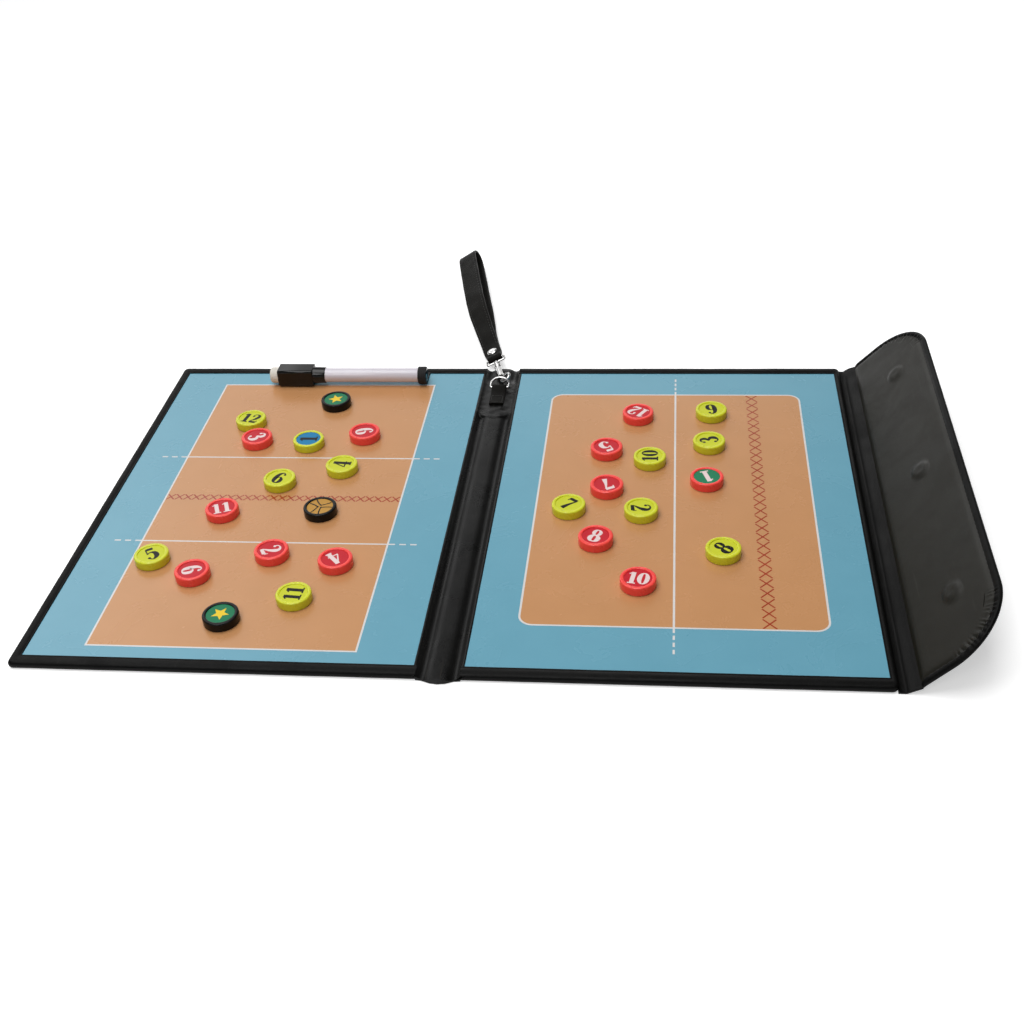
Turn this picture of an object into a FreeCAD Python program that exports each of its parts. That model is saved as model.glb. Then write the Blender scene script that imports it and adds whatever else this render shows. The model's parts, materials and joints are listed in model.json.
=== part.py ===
import FreeCAD, Part
import math
import os

# A folding tactics board: two leather covered panels on a spine, a closing flap with
# sewn-in magnets, magnetic counters, a dry-wipe pen in an elastic loop and a wrist strap.
# Millimetres. Origin: middle of the spine's underside, on the table.
# +X runs to the right panel and its flap, +Y to the far edge, +Z up.

V = FreeCAD.Vector
X_DIR = V(1, 0, 0)
Y_DIR = V(0, 1, 0)
Z_DIR = V(0, 0, 1)

# Modelling allowances
TINY = 1e-6
OVERCUT = 1.0
NEARLY_FULL = 0.999

# Printed courts
PRINT_WIDTH = 212.0
PRINT_DEPTH = 300.0

# Layers of a panel, from the table up
LEATHER = 0.8
BOARD = 1.8
STEEL = 0.4
SHEET = 0.3
HEM = 0.6

# Leather borders round a print
HEM_END = 7.5
LEFT_HEM_SIDE = 6.0
RIGHT_HEM_SIDE = 3.6
SHEET_TUCK = 1.0
PRINT_INSET = 2.0
EDGE_WALL = 0.7
PANEL_CORNER = 3.0
HEM_ROUND = 1.1

# Spine
SPINE_PITCH = 21.5
CREASE_GAP = 0.25
SPINE_LINING_WIDTH = 13.8
SPINE_LINING_SKIN = 0.7
SPINE_STIFFENER = 1.4
SPINE_LINING_INSET = 1.0
SPINE_LINING_ROUND = 0.6

# Gusset strip and closing flap
TONGUE = 3.65
GUSSET_WIDTH = 8.0
GUSSET_TILT = 26.0
FLAP_TILT = 46.0
FLAP_ROOT = 18.0
FLAP_REACH = 36.5
FLAP_CORNER = 35.5
FLAP_STIFFENER = 1.0
FLAP_LINING = 0.7
FLAP_SEAM = 4.0
MITRE_GAP = 0.35
MAGNET_DIAMETER = 10.0
MAGNET_THICKNESS = 1.8
MAGNET_PITCH = 110.0
MAGNET_FROM_CREASE = 29.0
DOME_DIAMETER = 15.0
DOME_TOP = 9.0
DOME_HEIGHT = 0.9
MAGNET_ROOM = 0.05

# Flats that stand for a round piece
WIRE_SIDES = 8
SMALL_SIDES = 12
ROUND_SIDES = 20

# Magnetic counters
COUNTER_DIAMETER = 20.0
COUNTER_HEIGHT = 5.5
COUNTER_FLOAT = 0.05
COUNTER_BEVEL = 0.7
LABEL_DIAMETER = 15.6
LABEL_DEPTH = 0.5
COUNTER_MAGNET_DIAMETER = 14.0
COUNTER_MAGNET_THICKNESS = 2.5

# Pen, measured along its axis from the eraser's outer face
PEN_LEFT_END = 160.5
PEN_FROM_EDGE = 13.5
PEN_LIFT = 0.75
FELT_DIAMETER = 10.8
FELT_SHOWS = 6.0
FELT_SEAT = 1.2
FELT_BEVEL = 0.8
CAP_BLOCK = 12.0
CAP_BLOCK_LENGTH = 24.5
CAP_BLOCK_BEVEL = 0.8
CAP_SKIRT_LENGTH = 8.5
CAP_SKIRT_ROOT = 11.4
CAP_SKIRT_RIM = 10.9
CAP_GRIP = 5.6
CAP_END_WALL = 3.0
BARREL_DIAMETER = 9.6
BARREL_LENGTH = 73.0
BARREL_WALL = 0.9
NECK_DIAMETER = 8.2
NECK_LENGTH = 9.4
CONE_LENGTH = 5.5
CONE_TIP = 4.4
FRONT_WALL = 2.6
NIB_DIAMETER = 3.0
NIB_SHOWS = 5.5
NIB_TIP = 1.6
NIB_BEVEL = 1.5
PLUG_HEAD = 3.5
PLUG_SPIGOT = 5.5
CORE_DIAMETER = 7.4
PEN_FIT = 0.08
CAP_ROOM = 0.25

# Elastic pen loop
LOOP_WIDTH = 7.0
LOOP_BAND = 0.9
LOOP_OVERLAP = 5.9
LOOP_TAIL = 1.2

# Ring and its leather tab on the spine
TAB_WIDTH = 9.8
TAB_LAYER = 0.9
TAB_LENGTH = 21.0
TAB_FLAT = 13.0
RING_WIRE = 1.6
RING_HALF = 6.1
RING_LEG = 2.5
RING_BEND = 0.7
RING_STEPS = 8
RING_FROM_END = 28.1
RING_TILT = 20.0
RING_FIT = 0.1

# Swivel snap hook, measured along its axis from the far end of its barrel
CLASP_BEYOND_END = 0.9
CLASP_ASIDE = 4.9
CLASP_LIFT = 6.3
CLASP_YAW = 16.0
CLASP_ROLL = -40.0
SWIVEL_BARREL = 5.2
SWIVEL_LENGTH = 5.0
SWIVEL_WALL = 1.4
SWIVEL_CAVITY = 2.2
SWIVEL_HEAD = 3.6
POST_DIAMETER = 2.3
POST_FIT = 0.08
NECK_TUBE = 4.0
NECK_TUBE_LENGTH = 13.5
BOLT_DIAMETER = 2.2
BOLT_FIT = 0.06
BOLT_TIP = 2.0
BOLT_TRAVEL = 3.0
KNOB_DIAMETER = 2.4
KNOB_THICKNESS = 1.2
KNOB_STEM = 1.3
KNOB_REACH = 2.8
KNOB_FROM_TUBE_END = 2.6
SLOT_ROOM = 0.15
HOOK_WIRE = 1.7
HOOK_RADIUS = 3.5
HOOK_OFFSET = 2.7
HOOK_DROP = 4.7
HOOK_START = 100.0
HOOK_SWEEP = 308.0
HOOK_STEPS = 14
SHOULDER_OFFSET = 1.6
SPRING_WIRE = 0.35

# Swivel eye and wrist strap
EYE_WIRE = 1.5
EYE_INNER_WIDTH = 11.8
EYE_NEAR = 2.7
EYE_FAR = 7.6
EYE_BEND = 1.0
BOSS_DIAMETER = 3.8
BOSS_GAP = 0.15
STRAP_WIDTH = 10.5
STRAP_THICKNESS = 1.8
STRAP_ROLL = -20.0
STRAP_END = 172.0
STRAP_BAR_FIT = 0.15
STRAP_GAP = 13.0
STRAP_SETTLE = 2.6
STRAP_OPENS = 30.0
STRAP_FULL = 75.0
RIVET_FROM_BAR = 8.0
RIVET_SHANK = 2.6
RIVET_CAP = 7.4
RIVET_DOME = 1.1
RIVET_BEVEL = 0.7
RIVET_ROOM = 0.2
STRAP_FLAT = 3.5

# Where each counter lies on its court: shares of the print's width, from the spine, and of its half depth
LEFT_COUNTERS = {
    "yellow_disc_12": (0.69929, 0.54667),
    "yellow_disc_01": (0.48703, 0.38),
    "yellow_disc_04": (0.35495, 0.18667),
    "yellow_disc_06": (0.52476, 0.08),
    "yellow_disc_05": (0.78892, -0.44667),
    "yellow_disc_11": (0.35495, -0.66667),
    "red_disc_03": (0.65212, 0.39667),
    "red_disc_09": (0.32193, 0.44333),
    "red_disc_11": (0.65448, -0.13667),
    "red_disc_06": (0.65448, -0.54),
    "red_disc_02": (0.46108, -0.40667),
    "red_disc_04": (0.27712, -0.45333),
    "black_disc_01": (0.45165, 0.71333),
    "black_disc_02": (0.37146, -0.12),
    "black_disc_03": (0.52476, -0.79),
}
RIGHT_COUNTERS = {
    "yellow_disc_09": (0.60967, 0.63667),
    "yellow_disc_03": (0.60024, 0.39),
    "yellow_disc_10": (0.42807, 0.26667),
    "yellow_disc_07": (0.20873, -0.08),
    "yellow_disc_02": (0.4092, -0.1),
    "yellow_disc_08": (0.62854, -0.35),
    "red_disc_12": (0.38797, 0.61333),
    "red_disc_05": (0.30071, 0.33667),
    "red_disc_01": (0.5908, 0.12),
    "red_disc_07": (0.31014, 0.06),
    "red_disc_08": (0.29127, -0.28667),
    "red_disc_10": (0.4092, -0.54),
}

# Levels and lines that the pieces share
half_spine = SPINE_PITCH / 2
half_depth = PRINT_DEPTH / 2 + HEM_END
fold_z = LEATHER / 2
crease_relief = LEATHER / 2 + CREASE_GAP
board_z = LEATHER
steel_z = board_z + BOARD
sheet_z = steel_z + STEEL
court_z = sheet_z + SHEET
hem_z = court_z + HEM
print_start = half_spine + PRINT_INSET
print_stop = print_start + PRINT_WIDTH
lining_top = LEATHER + SPINE_STIFFENER + SPINE_LINING_SKIN
gusset_crease = V(print_stop + RIGHT_HEM_SIDE + TONGUE, 0, fold_z)
pen_line = PRINT_DEPTH / 2 - PEN_FROM_EDGE
ring_bar_y = half_depth - RING_FROM_END
clasp_end = V(-CLASP_ASIDE, half_depth + CLASP_BEYOND_END, CLASP_LIFT)
flap_lining_top = LEATHER / 2 + FLAP_STIFFENER + FLAP_LINING


def rounded_wire(corners):
    """A closed outline of straight runs and tangent arcs. corners: (point, radius), radius 0 if sharp."""
    count = len(corners)
    spans = []
    for i, (point, radius) in enumerate(corners):
        if not radius:
            spans.append((point, None, point))
            continue
        back = (corners[i - 1][0] - point).normalize()
        ahead = (corners[(i + 1) % count][0] - point).normalize()
        half = back.getAngle(ahead) / 2
        middle = (back + ahead).normalize()
        bulge = point + middle * (radius / math.sin(half) - radius)
        setback = radius / math.tan(half)
        spans.append((point + back * setback, bulge, point + ahead * setback))
    edges = []
    for i in range(count):
        start, bulge, stop = spans[i]
        if bulge:
            edges.append(Part.Arc(start, bulge, stop).toShape())
        following = spans[(i + 1) % count][0]
        if stop.distanceToPoint(following) > TINY:
            edges.append(Part.LineSegment(stop, following).toShape())
    return Part.Wire(edges)


def prism(corners, along):
    return Part.Face(rounded_wire(corners)).extrude(along)


def block(low, high):
    size = high - low
    return Part.makeBox(size.x, size.y, size.z, low)


def ring_of_points(centre, across, up, diameter, sides):
    """The corners of a regular polygon that stands for a circle of this diameter."""
    points = []
    for i in range(sides):
        turn = 2 * math.pi * (i + 0.5) / sides
        points.append(centre + (across * math.cos(turn) + up * math.sin(turn)) * (diameter / 2))
    return points


def arc_points(centre, radius, start, stop, steps):
    """Points along an arc in the XY plane, from one angle to another."""
    points = []
    for i in range(steps + 1):
        turn = math.radians(start + (stop - start) * i / steps)
        points.append(centre + V(math.cos(turn), math.sin(turn), 0) * radius)
    return points


def polygon(points):
    return Part.makePolygon(points + points[:1])


def turned(profile, axis, sides):
    """A turned piece, drawn with flats. profile: (distance along the axis, radius) pairs."""
    across = Y_DIR if axis == X_DIR else X_DIR
    rings = []
    for along, radius in profile:
        rings.append(ring_of_points(axis * along, across, axis.cross(across), 2 * radius, sides))
    faces = []
    for (_, here_r), here, (_, there_r), there in zip(
        profile, rings, profile[1:] + profile[:1], rings[1:] + rings[:1]
    ):
        for i in range(sides):
            follows = (i + 1) % sides
            near = [here[i], here[follows]] if here_r else [here[i]]
            far = [there[follows], there[i]] if there_r else [there[i]]
            if here_r or there_r:
                faces.append(Part.Face(polygon(near + far)))
    solid = Part.Solid(Part.Shell(faces)).removeSplitter()
    return solid if solid.Volume > 0 else solid.reversed()


def drum(low, diameter, height, sides):
    """An upright disc."""
    points = ring_of_points(low, X_DIR, Y_DIR, diameter, sides)
    return Part.Face(polygon(points)).extrude(Z_DIR * height)


def rod(start, stop, diameter, sides):
    """A straight bar between two points."""
    along = (stop - start).normalize()
    across = Z_DIR if abs(along.z) < 0.5 else X_DIR
    points = ring_of_points(start, across, along.cross(across), diameter, sides)
    return Part.Face(polygon(points)).extrude(stop - start)


def bent_wire(points, diameter, closed):
    """A wire with mitred bends along points in the XY plane."""
    path = polygon(points) if closed else Part.makePolygon(points)
    across = (points[1] - points[0]).normalize().cross(Z_DIR)
    section = polygon(ring_of_points(points[0], across, Z_DIR, diameter, WIRE_SIDES))
    return path.makePipeShell([section], True, False, 1).removeSplitter()


def edges_where(shape, test):
    return [edge for edge in shape.Edges if test(edge.BoundBox)]


def round_edges(shape, radius, test):
    return shape.makeFillet(radius, edges_where(shape, test))


def mirrored(shape):
    return shape.mirror(V(), X_DIR)


def fore_plate(start, stop, half, low, high, corner):
    """A flat plate whose two fore-edge corners are rounded."""
    corners = [
        (V(start, -half, low), 0),
        (V(stop, -half, low), corner),
        (V(stop, half, low), corner),
        (V(start, half, low), 0),
    ]
    return prism(corners, V(0, 0, high - low))


def panel(hem_side, tongue):
    """One panel, drawn to the right of the spine: leather tray with turned hem, board, steel and print."""
    wall = half_spine + crease_relief
    fore = print_stop + hem_side
    inner = fore - LEATHER
    core_start = wall + EDGE_WALL
    core_corner = PANEL_CORNER - LEATHER
    core_half = half_depth - LEATHER
    sheet_half = PRINT_DEPTH / 2 + SHEET_TUCK
    tray = fore_plate(wall, fore, half_depth, 0, hem_z, PANEL_CORNER)
    tray = round_edges(tray, HEM_ROUND, lambda b: b.ZMin > hem_z - TINY and b.XMax > wall + TINY)
    if tongue:
        reach = V(fore + tongue - crease_relief, half_depth, LEATHER)
        tray = tray.fuse(block(V(fore - PANEL_CORNER - hem_side, -half_depth, 0), reach))
    core = fore_plate(core_start, inner, core_half, board_z, sheet_z, core_corner)
    sheet = block(V(print_start, -sheet_half, sheet_z), V(print_stop + SHEET_TUCK, sheet_half, court_z))
    window = block(
        V(wall - OVERCUT, -PRINT_DEPTH / 2, court_z),
        V(print_stop, PRINT_DEPTH / 2, hem_z + OVERCUT),
    )
    return {
        "cover": tray.cut(core).cut(sheet).cut(window).removeSplitter(),
        "board": fore_plate(core_start, inner, core_half, board_z, steel_z, core_corner),
        "steel_sheet": fore_plate(core_start, inner, core_half, steel_z, sheet_z, core_corner),
        "court_sheet": sheet,
    }


def capsule(start, stop, thickness, half):
    """A leather strip with full-round edges, seen end on in XZ and running along Y."""
    lean = (stop - start).normalize()
    side = V(-lean.z, 0, lean.x) * (thickness / 2)
    end = lean * (thickness / 2)
    edges = [
        Part.LineSegment(start - side, stop - side).toShape(),
        Part.Arc(stop - side, stop + end, stop + side).toShape(),
        Part.LineSegment(stop + side, start + side).toShape(),
        Part.Arc(start + side, start - end, start - side).toShape(),
    ]
    face = Part.Face(Part.Wire(edges))
    face.translate(V(0, -half, 0))
    return face.extrude(V(0, 2 * half, 0))


def spine():
    lining_half = SPINE_LINING_WIDTH / 2
    stiff_half = lining_half - SPINE_LINING_SKIN
    lining_end = half_depth - SPINE_LINING_INSET
    stiff_end = lining_end - SPINE_LINING_SKIN
    stiff_top = LEATHER + SPINE_STIFFENER
    crease = V(half_spine, 0, fold_z)
    stiffener = block(V(-stiff_half, -stiff_end, LEATHER), V(stiff_half, stiff_end, stiff_top))
    lining = block(V(-lining_half, -lining_end, LEATHER), V(lining_half, lining_end, lining_top))
    lining = round_edges(lining, SPINE_LINING_ROUND, lambda b: b.ZMin > lining_top - TINY)
    return {
        "spine_cover": capsule(V(-crease.x, 0, fold_z), crease, LEATHER, half_depth),
        "spine_stiffener": stiffener,
        "spine_lining": lining.cut(stiffener),
    }


def tilted(shape, origin, tilt):
    """Stands a piece that was drawn flat, with its crease on the Y axis, at its tilt from a crease."""
    shape = shape.copy()
    shape.Placement = FreeCAD.Placement(origin, FreeCAD.Rotation(Y_DIR, -tilt))
    return shape


def lean(tilt):
    return V(math.cos(math.radians(tilt)), 0, math.sin(math.radians(tilt)))


def flap_plate(start, stop, inset, corner, low, high):
    return fore_plate(start, stop, half_depth - inset, low, high, corner)


def mitre():
    """The groove that lets the padded layers bend inwards where the flap turns over the closed edge."""
    rise = flap_lining_top + DOME_HEIGHT
    half = rise + MITRE_GAP
    corners = [
        (V(FLAP_ROOT, -half_depth, -MITRE_GAP), 0),
        (V(FLAP_ROOT + half, -half_depth, rise), 0),
        (V(FLAP_ROOT - half, -half_depth, rise), 0),
    ]
    return prism(corners, V(0, 2 * half_depth, 0))


def magnet_places():
    return [V(MAGNET_FROM_CREASE, i * MAGNET_PITCH, LEATHER / 2) for i in (-1, 0, 1)]


def dome(place):
    """The swelling of the lining over a sewn-in magnet."""
    profile = [(0, 0), (0, DOME_DIAMETER / 2), (DOME_HEIGHT, DOME_TOP / 2), (DOME_HEIGHT, 0)]
    swelling = turned(profile, Z_DIR, ROUND_SIDES)
    swelling.translate(V(place.x, place.y, flap_lining_top))
    return swelling


def closing_flap():
    flap_stop = FLAP_ROOT + FLAP_REACH
    under = LEATHER / 2
    stiff_top = under + FLAP_STIFFENER
    flap_crease = gusset_crease + lean(GUSSET_TILT) * GUSSET_WIDTH
    bend = flap_crease + lean(FLAP_TILT) * FLAP_ROOT
    groove = mitre()
    seam_half = half_depth - FLAP_SEAM

    strip = block(V(crease_relief, -half_depth, under), V(GUSSET_WIDTH, half_depth, under + FLAP_LINING))
    root = block(V(0, -half_depth, under), V(FLAP_ROOT, half_depth, flap_lining_top))
    root_stiffener = block(V(FLAP_LINING, -seam_half, under), V(FLAP_ROOT, seam_half, stiff_top)).cut(groove)
    root_lining = root.cut(root_stiffener).cut(groove)
    gusset_lining = tilted(strip, gusset_crease, GUSSET_TILT)
    gusset_lining = gusset_lining.fuse(tilted(root_lining, flap_crease, FLAP_TILT))
    gusset_cover = capsule(gusset_crease, flap_crease, LEATHER, half_depth)
    gusset_cover = gusset_cover.fuse(capsule(flap_crease, bend, LEATHER, half_depth)).removeSplitter()
    gusset_lining = gusset_lining.cut(gusset_cover).cut(tilted(root_stiffener, flap_crease, FLAP_TILT))

    start = FLAP_ROOT + crease_relief
    seam_corner = FLAP_CORNER - FLAP_SEAM
    cover = flap_plate(start, flap_stop, 0, FLAP_CORNER, -under, under)
    body = flap_plate(start, flap_stop, 0, FLAP_CORNER, under, flap_lining_top)
    stiffener = flap_plate(start, flap_stop - FLAP_SEAM, FLAP_SEAM, seam_corner, under, stiff_top).cut(groove)
    lining = body.cut(groove).cut(stiffener)
    magnets = []
    for place in magnet_places():
        pocket = drum(place, MAGNET_DIAMETER + 2 * MAGNET_ROOM, MAGNET_THICKNESS + MAGNET_ROOM, SMALL_SIDES)
        lining = lining.fuse(dome(place)).cut(pocket)
        stiffener = stiffener.cut(pocket)
        magnets.append(drum(place, MAGNET_DIAMETER, MAGNET_THICKNESS, SMALL_SIDES))
    flat = {
        "flap_cover": cover,
        "flap_stiffener": stiffener,
        "flap_lining": lining.removeSplitter(),
        "flap_magnets": Part.makeCompound(magnets),
        "gusset_stiffener": root_stiffener,
    }
    pieces = {name: tilted(shape, flap_crease, FLAP_TILT) for name, shape in flat.items()}
    pieces["gusset_cover"] = gusset_cover
    pieces["gusset_lining"] = gusset_lining.removeSplitter()
    return pieces


def counter(place):
    """A magnetic counter: bevelled plastic cup with a recess for its label, and a magnet in its underside."""
    at = V(place.x, place.y, court_z + COUNTER_FLOAT)
    label_low = at + V(0, 0, COUNTER_HEIGHT - LABEL_DEPTH)
    cup = drum(at, COUNTER_DIAMETER, COUNTER_HEIGHT, ROUND_SIDES)
    cup = cup.makeChamfer(COUNTER_BEVEL, edges_where(cup, lambda b: b.ZMin > at.z + LABEL_DEPTH))
    magnet = drum(at, COUNTER_MAGNET_DIAMETER, COUNTER_MAGNET_THICKNESS, SMALL_SIDES)
    recess = drum(label_low, LABEL_DIAMETER, LABEL_DEPTH, ROUND_SIDES)
    return Part.makeCompound([cup.cut(recess).cut(magnet), magnet])


def pen():
    """The dry-wipe pen, drawn along X from the outer face of its eraser."""
    cap_start = FELT_SHOWS
    block_stop = cap_start + CAP_BLOCK_LENGTH
    skirt_stop = block_stop + CAP_SKIRT_LENGTH
    barrel_start = skirt_stop - CAP_GRIP
    barrel_stop = barrel_start + BARREL_LENGTH
    neck_start = barrel_start - NECK_LENGTH
    cone_start = neck_start - CONE_LENGTH
    nib_start = cone_start - NIB_SHOWS
    chamber_start = barrel_start + FRONT_WALL
    plug_start = barrel_stop - PLUG_SPIGOT
    barrel_r = BARREL_DIAMETER / 2
    chamber_r = barrel_r - BARREL_WALL
    nib_r = NIB_DIAMETER / 2
    neck_r = NECK_DIAMETER / 2
    bore_r = neck_r + CAP_ROOM
    grip_r = barrel_r + PEN_FIT
    felt_r = FELT_DIAMETER / 2

    half = CAP_BLOCK / 2
    cap = block(V(cap_start, -half, -half), V(block_stop, half, half))
    cap = cap.makeChamfer(CAP_BLOCK_BEVEL, edges_where(cap, lambda b: b.XLength > CAP_BLOCK))
    skirt = [
        (block_stop, 0),
        (block_stop, CAP_SKIRT_ROOT / 2),
        (skirt_stop, CAP_SKIRT_RIM / 2),
        (skirt_stop, 0),
    ]
    felt_seat = cap_start + FELT_SEAT
    hollow = [
        (felt_seat + CAP_END_WALL, 0),
        (felt_seat + CAP_END_WALL, bore_r),
        (barrel_start - PEN_FIT, bore_r),
        (barrel_start - PEN_FIT, grip_r),
        (skirt_stop, grip_r),
        (skirt_stop, 0),
    ]
    seat = rod(X_DIR * cap_start, X_DIR * felt_seat, FELT_DIAMETER, ROUND_SIDES)
    cap = cap.fuse(turned(skirt, X_DIR, ROUND_SIDES)).cut(turned(hollow, X_DIR, ROUND_SIDES)).cut(seat)

    felt = [
        (0, 0),
        (0, felt_r - FELT_BEVEL),
        (FELT_BEVEL, felt_r),
        (felt_seat, felt_r),
        (felt_seat, 0),
    ]

    barrel = [
        (cone_start, nib_r + PEN_FIT),
        (cone_start, CONE_TIP / 2),
        (neck_start, neck_r),
        (barrel_start, neck_r),
        (barrel_start, barrel_r),
        (barrel_stop, barrel_r),
        (barrel_stop, chamber_r),
        (chamber_start, chamber_r),
        (chamber_start, nib_r + PEN_FIT),
    ]
    nib = [
        (nib_start, 0),
        (nib_start, NIB_TIP / 2),
        (nib_start + NIB_BEVEL, nib_r),
        (chamber_start, nib_r),
        (chamber_start, 0),
    ]
    plug = [
        (plug_start, 0),
        (plug_start, chamber_r - PEN_FIT),
        (barrel_stop, chamber_r - PEN_FIT),
        (barrel_stop, barrel_r),
        (barrel_stop + PLUG_HEAD, barrel_r),
        (barrel_stop + PLUG_HEAD, 0),
    ]
    pieces = {
        "pen_cap": cap,
        "eraser_felt": turned(felt, X_DIR, ROUND_SIDES),
        "pen_barrel": turned(barrel, X_DIR, ROUND_SIDES),
        "pen_nib": turned(nib, X_DIR, ROUND_SIDES),
        "pen_end_plug": turned(plug, X_DIR, ROUND_SIDES),
        "ink_core": rod(X_DIR * chamber_start, X_DIR * plug_start, CORE_DIAMETER, ROUND_SIDES),
    }
    axis_z = court_z + PEN_LIFT + CAP_BLOCK / 2
    for shape in pieces.values():
        shape.translate(V(-PEN_LEFT_END, pen_line, axis_z))
    loop_start = -PEN_LEFT_END + barrel_stop + PLUG_HEAD - LOOP_OVERLAP
    pieces["pen_loop"] = pen_loop(V(loop_start, pen_line, axis_z), grip_r)
    return pieces


def pen_loop(start, bore):
    """An elastic band round the pen's tail, with its flat tail tucked against the far hem."""
    along = X_DIR * LOOP_WIDTH
    band = rod(start, start + along, 2 * (bore + LOOP_BAND), ROUND_SIDES)
    tail = block(
        V(start.x, start.y - bore / 2, court_z),
        V(start.x + LOOP_WIDTH, PRINT_DEPTH / 2, court_z + LOOP_TAIL),
    )
    return band.fuse(tail).cut(rod(start - along, start + along * 2, 2 * bore, ROUND_SIDES)).removeSplitter()


def placed(shape, yaw, roll):
    """Turns a clasp or strap piece, drawn along Y from the barrel's far end, into its place."""
    turn = FreeCAD.Rotation(Z_DIR, yaw).multiply(FreeCAD.Rotation(Y_DIR, roll))
    shape = shape.copy()
    shape.Placement = FreeCAD.Placement(clasp_end, turn)
    return shape


def ring_and_tab():
    """A wire ring hinged in a folded leather tab on the spine's lining."""
    wire_r = RING_WIRE / 2
    bore_r = wire_r + RING_FIT
    bar = V(0, ring_bar_y, lining_top + TAB_LAYER + bore_r)
    corner = RING_HALF - RING_BEND
    base = [V(-RING_HALF, RING_BEND, 0), V(-corner, 0, 0), V(corner, 0, 0), V(RING_HALF, RING_BEND, 0)]
    bow = arc_points(V(0, RING_LEG, 0), RING_HALF, 0, 180, RING_STEPS)
    ring = bent_wire(base + bow, RING_WIRE, closed=True)
    ring.Placement = FreeCAD.Placement(bar, FreeCAD.Rotation(X_DIR, RING_TILT))

    outer = bore_r + TAB_LAYER
    low = lining_top
    half = V(TAB_WIDTH / 2, 0, 0)
    profile = [
        V(0, bar.y - TAB_LENGTH, low),
        V(0, bar.y, low),
        V(0, bar.y, bar.z + outer),
        V(0, bar.y - TAB_LENGTH + TAB_FLAT, low + 2 * TAB_LAYER),
        V(0, bar.y - TAB_LENGTH, low + 2 * TAB_LAYER),
    ]
    tab = prism([(point - half, 0) for point in profile], half * 2)
    tab = tab.fuse(rod(bar - half, bar + half, 2 * outer, ROUND_SIDES))
    tab = tab.cut(rod(bar - half * 2, bar + half * 2, 2 * bore_r, ROUND_SIDES))
    return {"d_ring": ring, "ring_tab": tab.removeSplitter()}


def snap_hook():
    """A bolt snap: swivel barrel, tube with a sprung bolt, and an open hook that the bolt closes."""
    barrel_near = -SWIVEL_LENGTH
    tube_end = barrel_near - NECK_TUBE_LENGTH
    tube_r = NECK_TUBE / 2
    post_bore = POST_DIAMETER / 2 + POST_FIT
    centre = V(HOOK_OFFSET, tube_end - HOOK_DROP, 0)

    body = [
        (tube_end, 0),
        (tube_end, tube_r),
        (barrel_near - tube_r / 2, tube_r),
        (barrel_near, SWIVEL_BARREL / 2),
        (0, SWIVEL_BARREL / 2),
        (0, 0),
    ]
    cavity_far = -SWIVEL_WALL
    cavity_near = cavity_far - SWIVEL_CAVITY
    cavity_r = SWIVEL_HEAD / 2 + POST_FIT
    swivel_hollow = [
        (cavity_near, 0),
        (cavity_near, cavity_r),
        (cavity_far, cavity_r),
        (cavity_far, post_bore),
        (0, post_bore),
        (0, 0),
    ]
    bow = arc_points(centre, HOOK_RADIUS, HOOK_START, HOOK_START - HOOK_SWEEP, HOOK_STEPS)
    hook = bent_wire([V(SHOULDER_OFFSET, tube_end + tube_r, 0)] + bow, HOOK_WIRE, closed=False)

    bolt_tip = tube_end - BOLT_TIP
    spring_stop = barrel_near - SWIVEL_WALL
    knob_near = tube_end + KNOB_FROM_TUBE_END
    bolt_stop = knob_near + KNOB_STEM
    slot_half = KNOB_STEM / 2 + SLOT_ROOM
    slot_far = knob_near + BOLT_TRAVEL
    bore_stop = Y_DIR * spring_stop
    bore = rod(Y_DIR * (tube_end - HOOK_DROP), bore_stop, BOLT_DIAMETER + 2 * BOLT_FIT, SMALL_SIDES)
    slot = block(V(-NECK_TUBE, knob_near - slot_half, -slot_half), V(0, slot_far + slot_half, slot_half))
    hook_body = turned(body, Y_DIR, ROUND_SIDES).fuse(hook).cut(turned(swivel_hollow, Y_DIR, ROUND_SIDES))
    hook_body = hook_body.cut(bore).cut(slot).removeSplitter()

    knob = V(-KNOB_REACH, knob_near, 0)
    knob_half = X_DIR * (KNOB_THICKNESS / 2)
    stem = rod(Y_DIR * knob_near, knob, KNOB_STEM, WIRE_SIDES)
    button = rod(knob - knob_half, knob + knob_half, KNOB_DIAMETER, SMALL_SIDES)
    bolt = rod(Y_DIR * bolt_tip, Y_DIR * bolt_stop, BOLT_DIAMETER, SMALL_SIDES).fuse([stem, button])
    spring = rod(Y_DIR * bolt_stop, bore_stop, BOLT_DIAMETER, SMALL_SIDES)
    spring = spring.cut(rod(Y_DIR * bolt_stop, bore_stop, BOLT_DIAMETER - 2 * SPRING_WIRE, SMALL_SIDES))
    flat = {"clasp_hook": hook_body, "clasp_bolt": bolt.removeSplitter(), "clasp_spring": spring}
    return {name: placed(shape, CLASP_YAW, CLASP_ROLL) for name, shape in flat.items()}


def swivel_eye():
    """A wire loop on a headed post that turns in the barrel."""
    half = (EYE_INNER_WIDTH + EYE_WIRE) / 2
    head_far = -SWIVEL_WALL - POST_FIT
    head_near = head_far - SWIVEL_CAVITY + 2 * POST_FIT
    post = [
        (head_near, 0),
        (head_near, SWIVEL_HEAD / 2),
        (head_far, SWIVEL_HEAD / 2),
        (head_far, POST_DIAMETER / 2),
        (BOSS_GAP, POST_DIAMETER / 2),
        (BOSS_GAP, BOSS_DIAMETER / 2),
        (EYE_NEAR, BOSS_DIAMETER / 2),
        (EYE_NEAR, 0),
    ]
    bar = half - EYE_BEND
    near = EYE_NEAR + EYE_BEND
    far = EYE_FAR - EYE_BEND
    right = [V(bar, EYE_NEAR, 0), V(half, near, 0), V(half, far, 0), V(bar, EYE_FAR, 0)]
    left = [V(-point.x, point.y, 0) for point in reversed(right)]
    loop = bent_wire(right + left, EYE_WIRE, closed=True)
    return placed(turned(post, Y_DIR, ROUND_SIDES).fuse(loop), CLASP_YAW, STRAP_ROLL)


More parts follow.
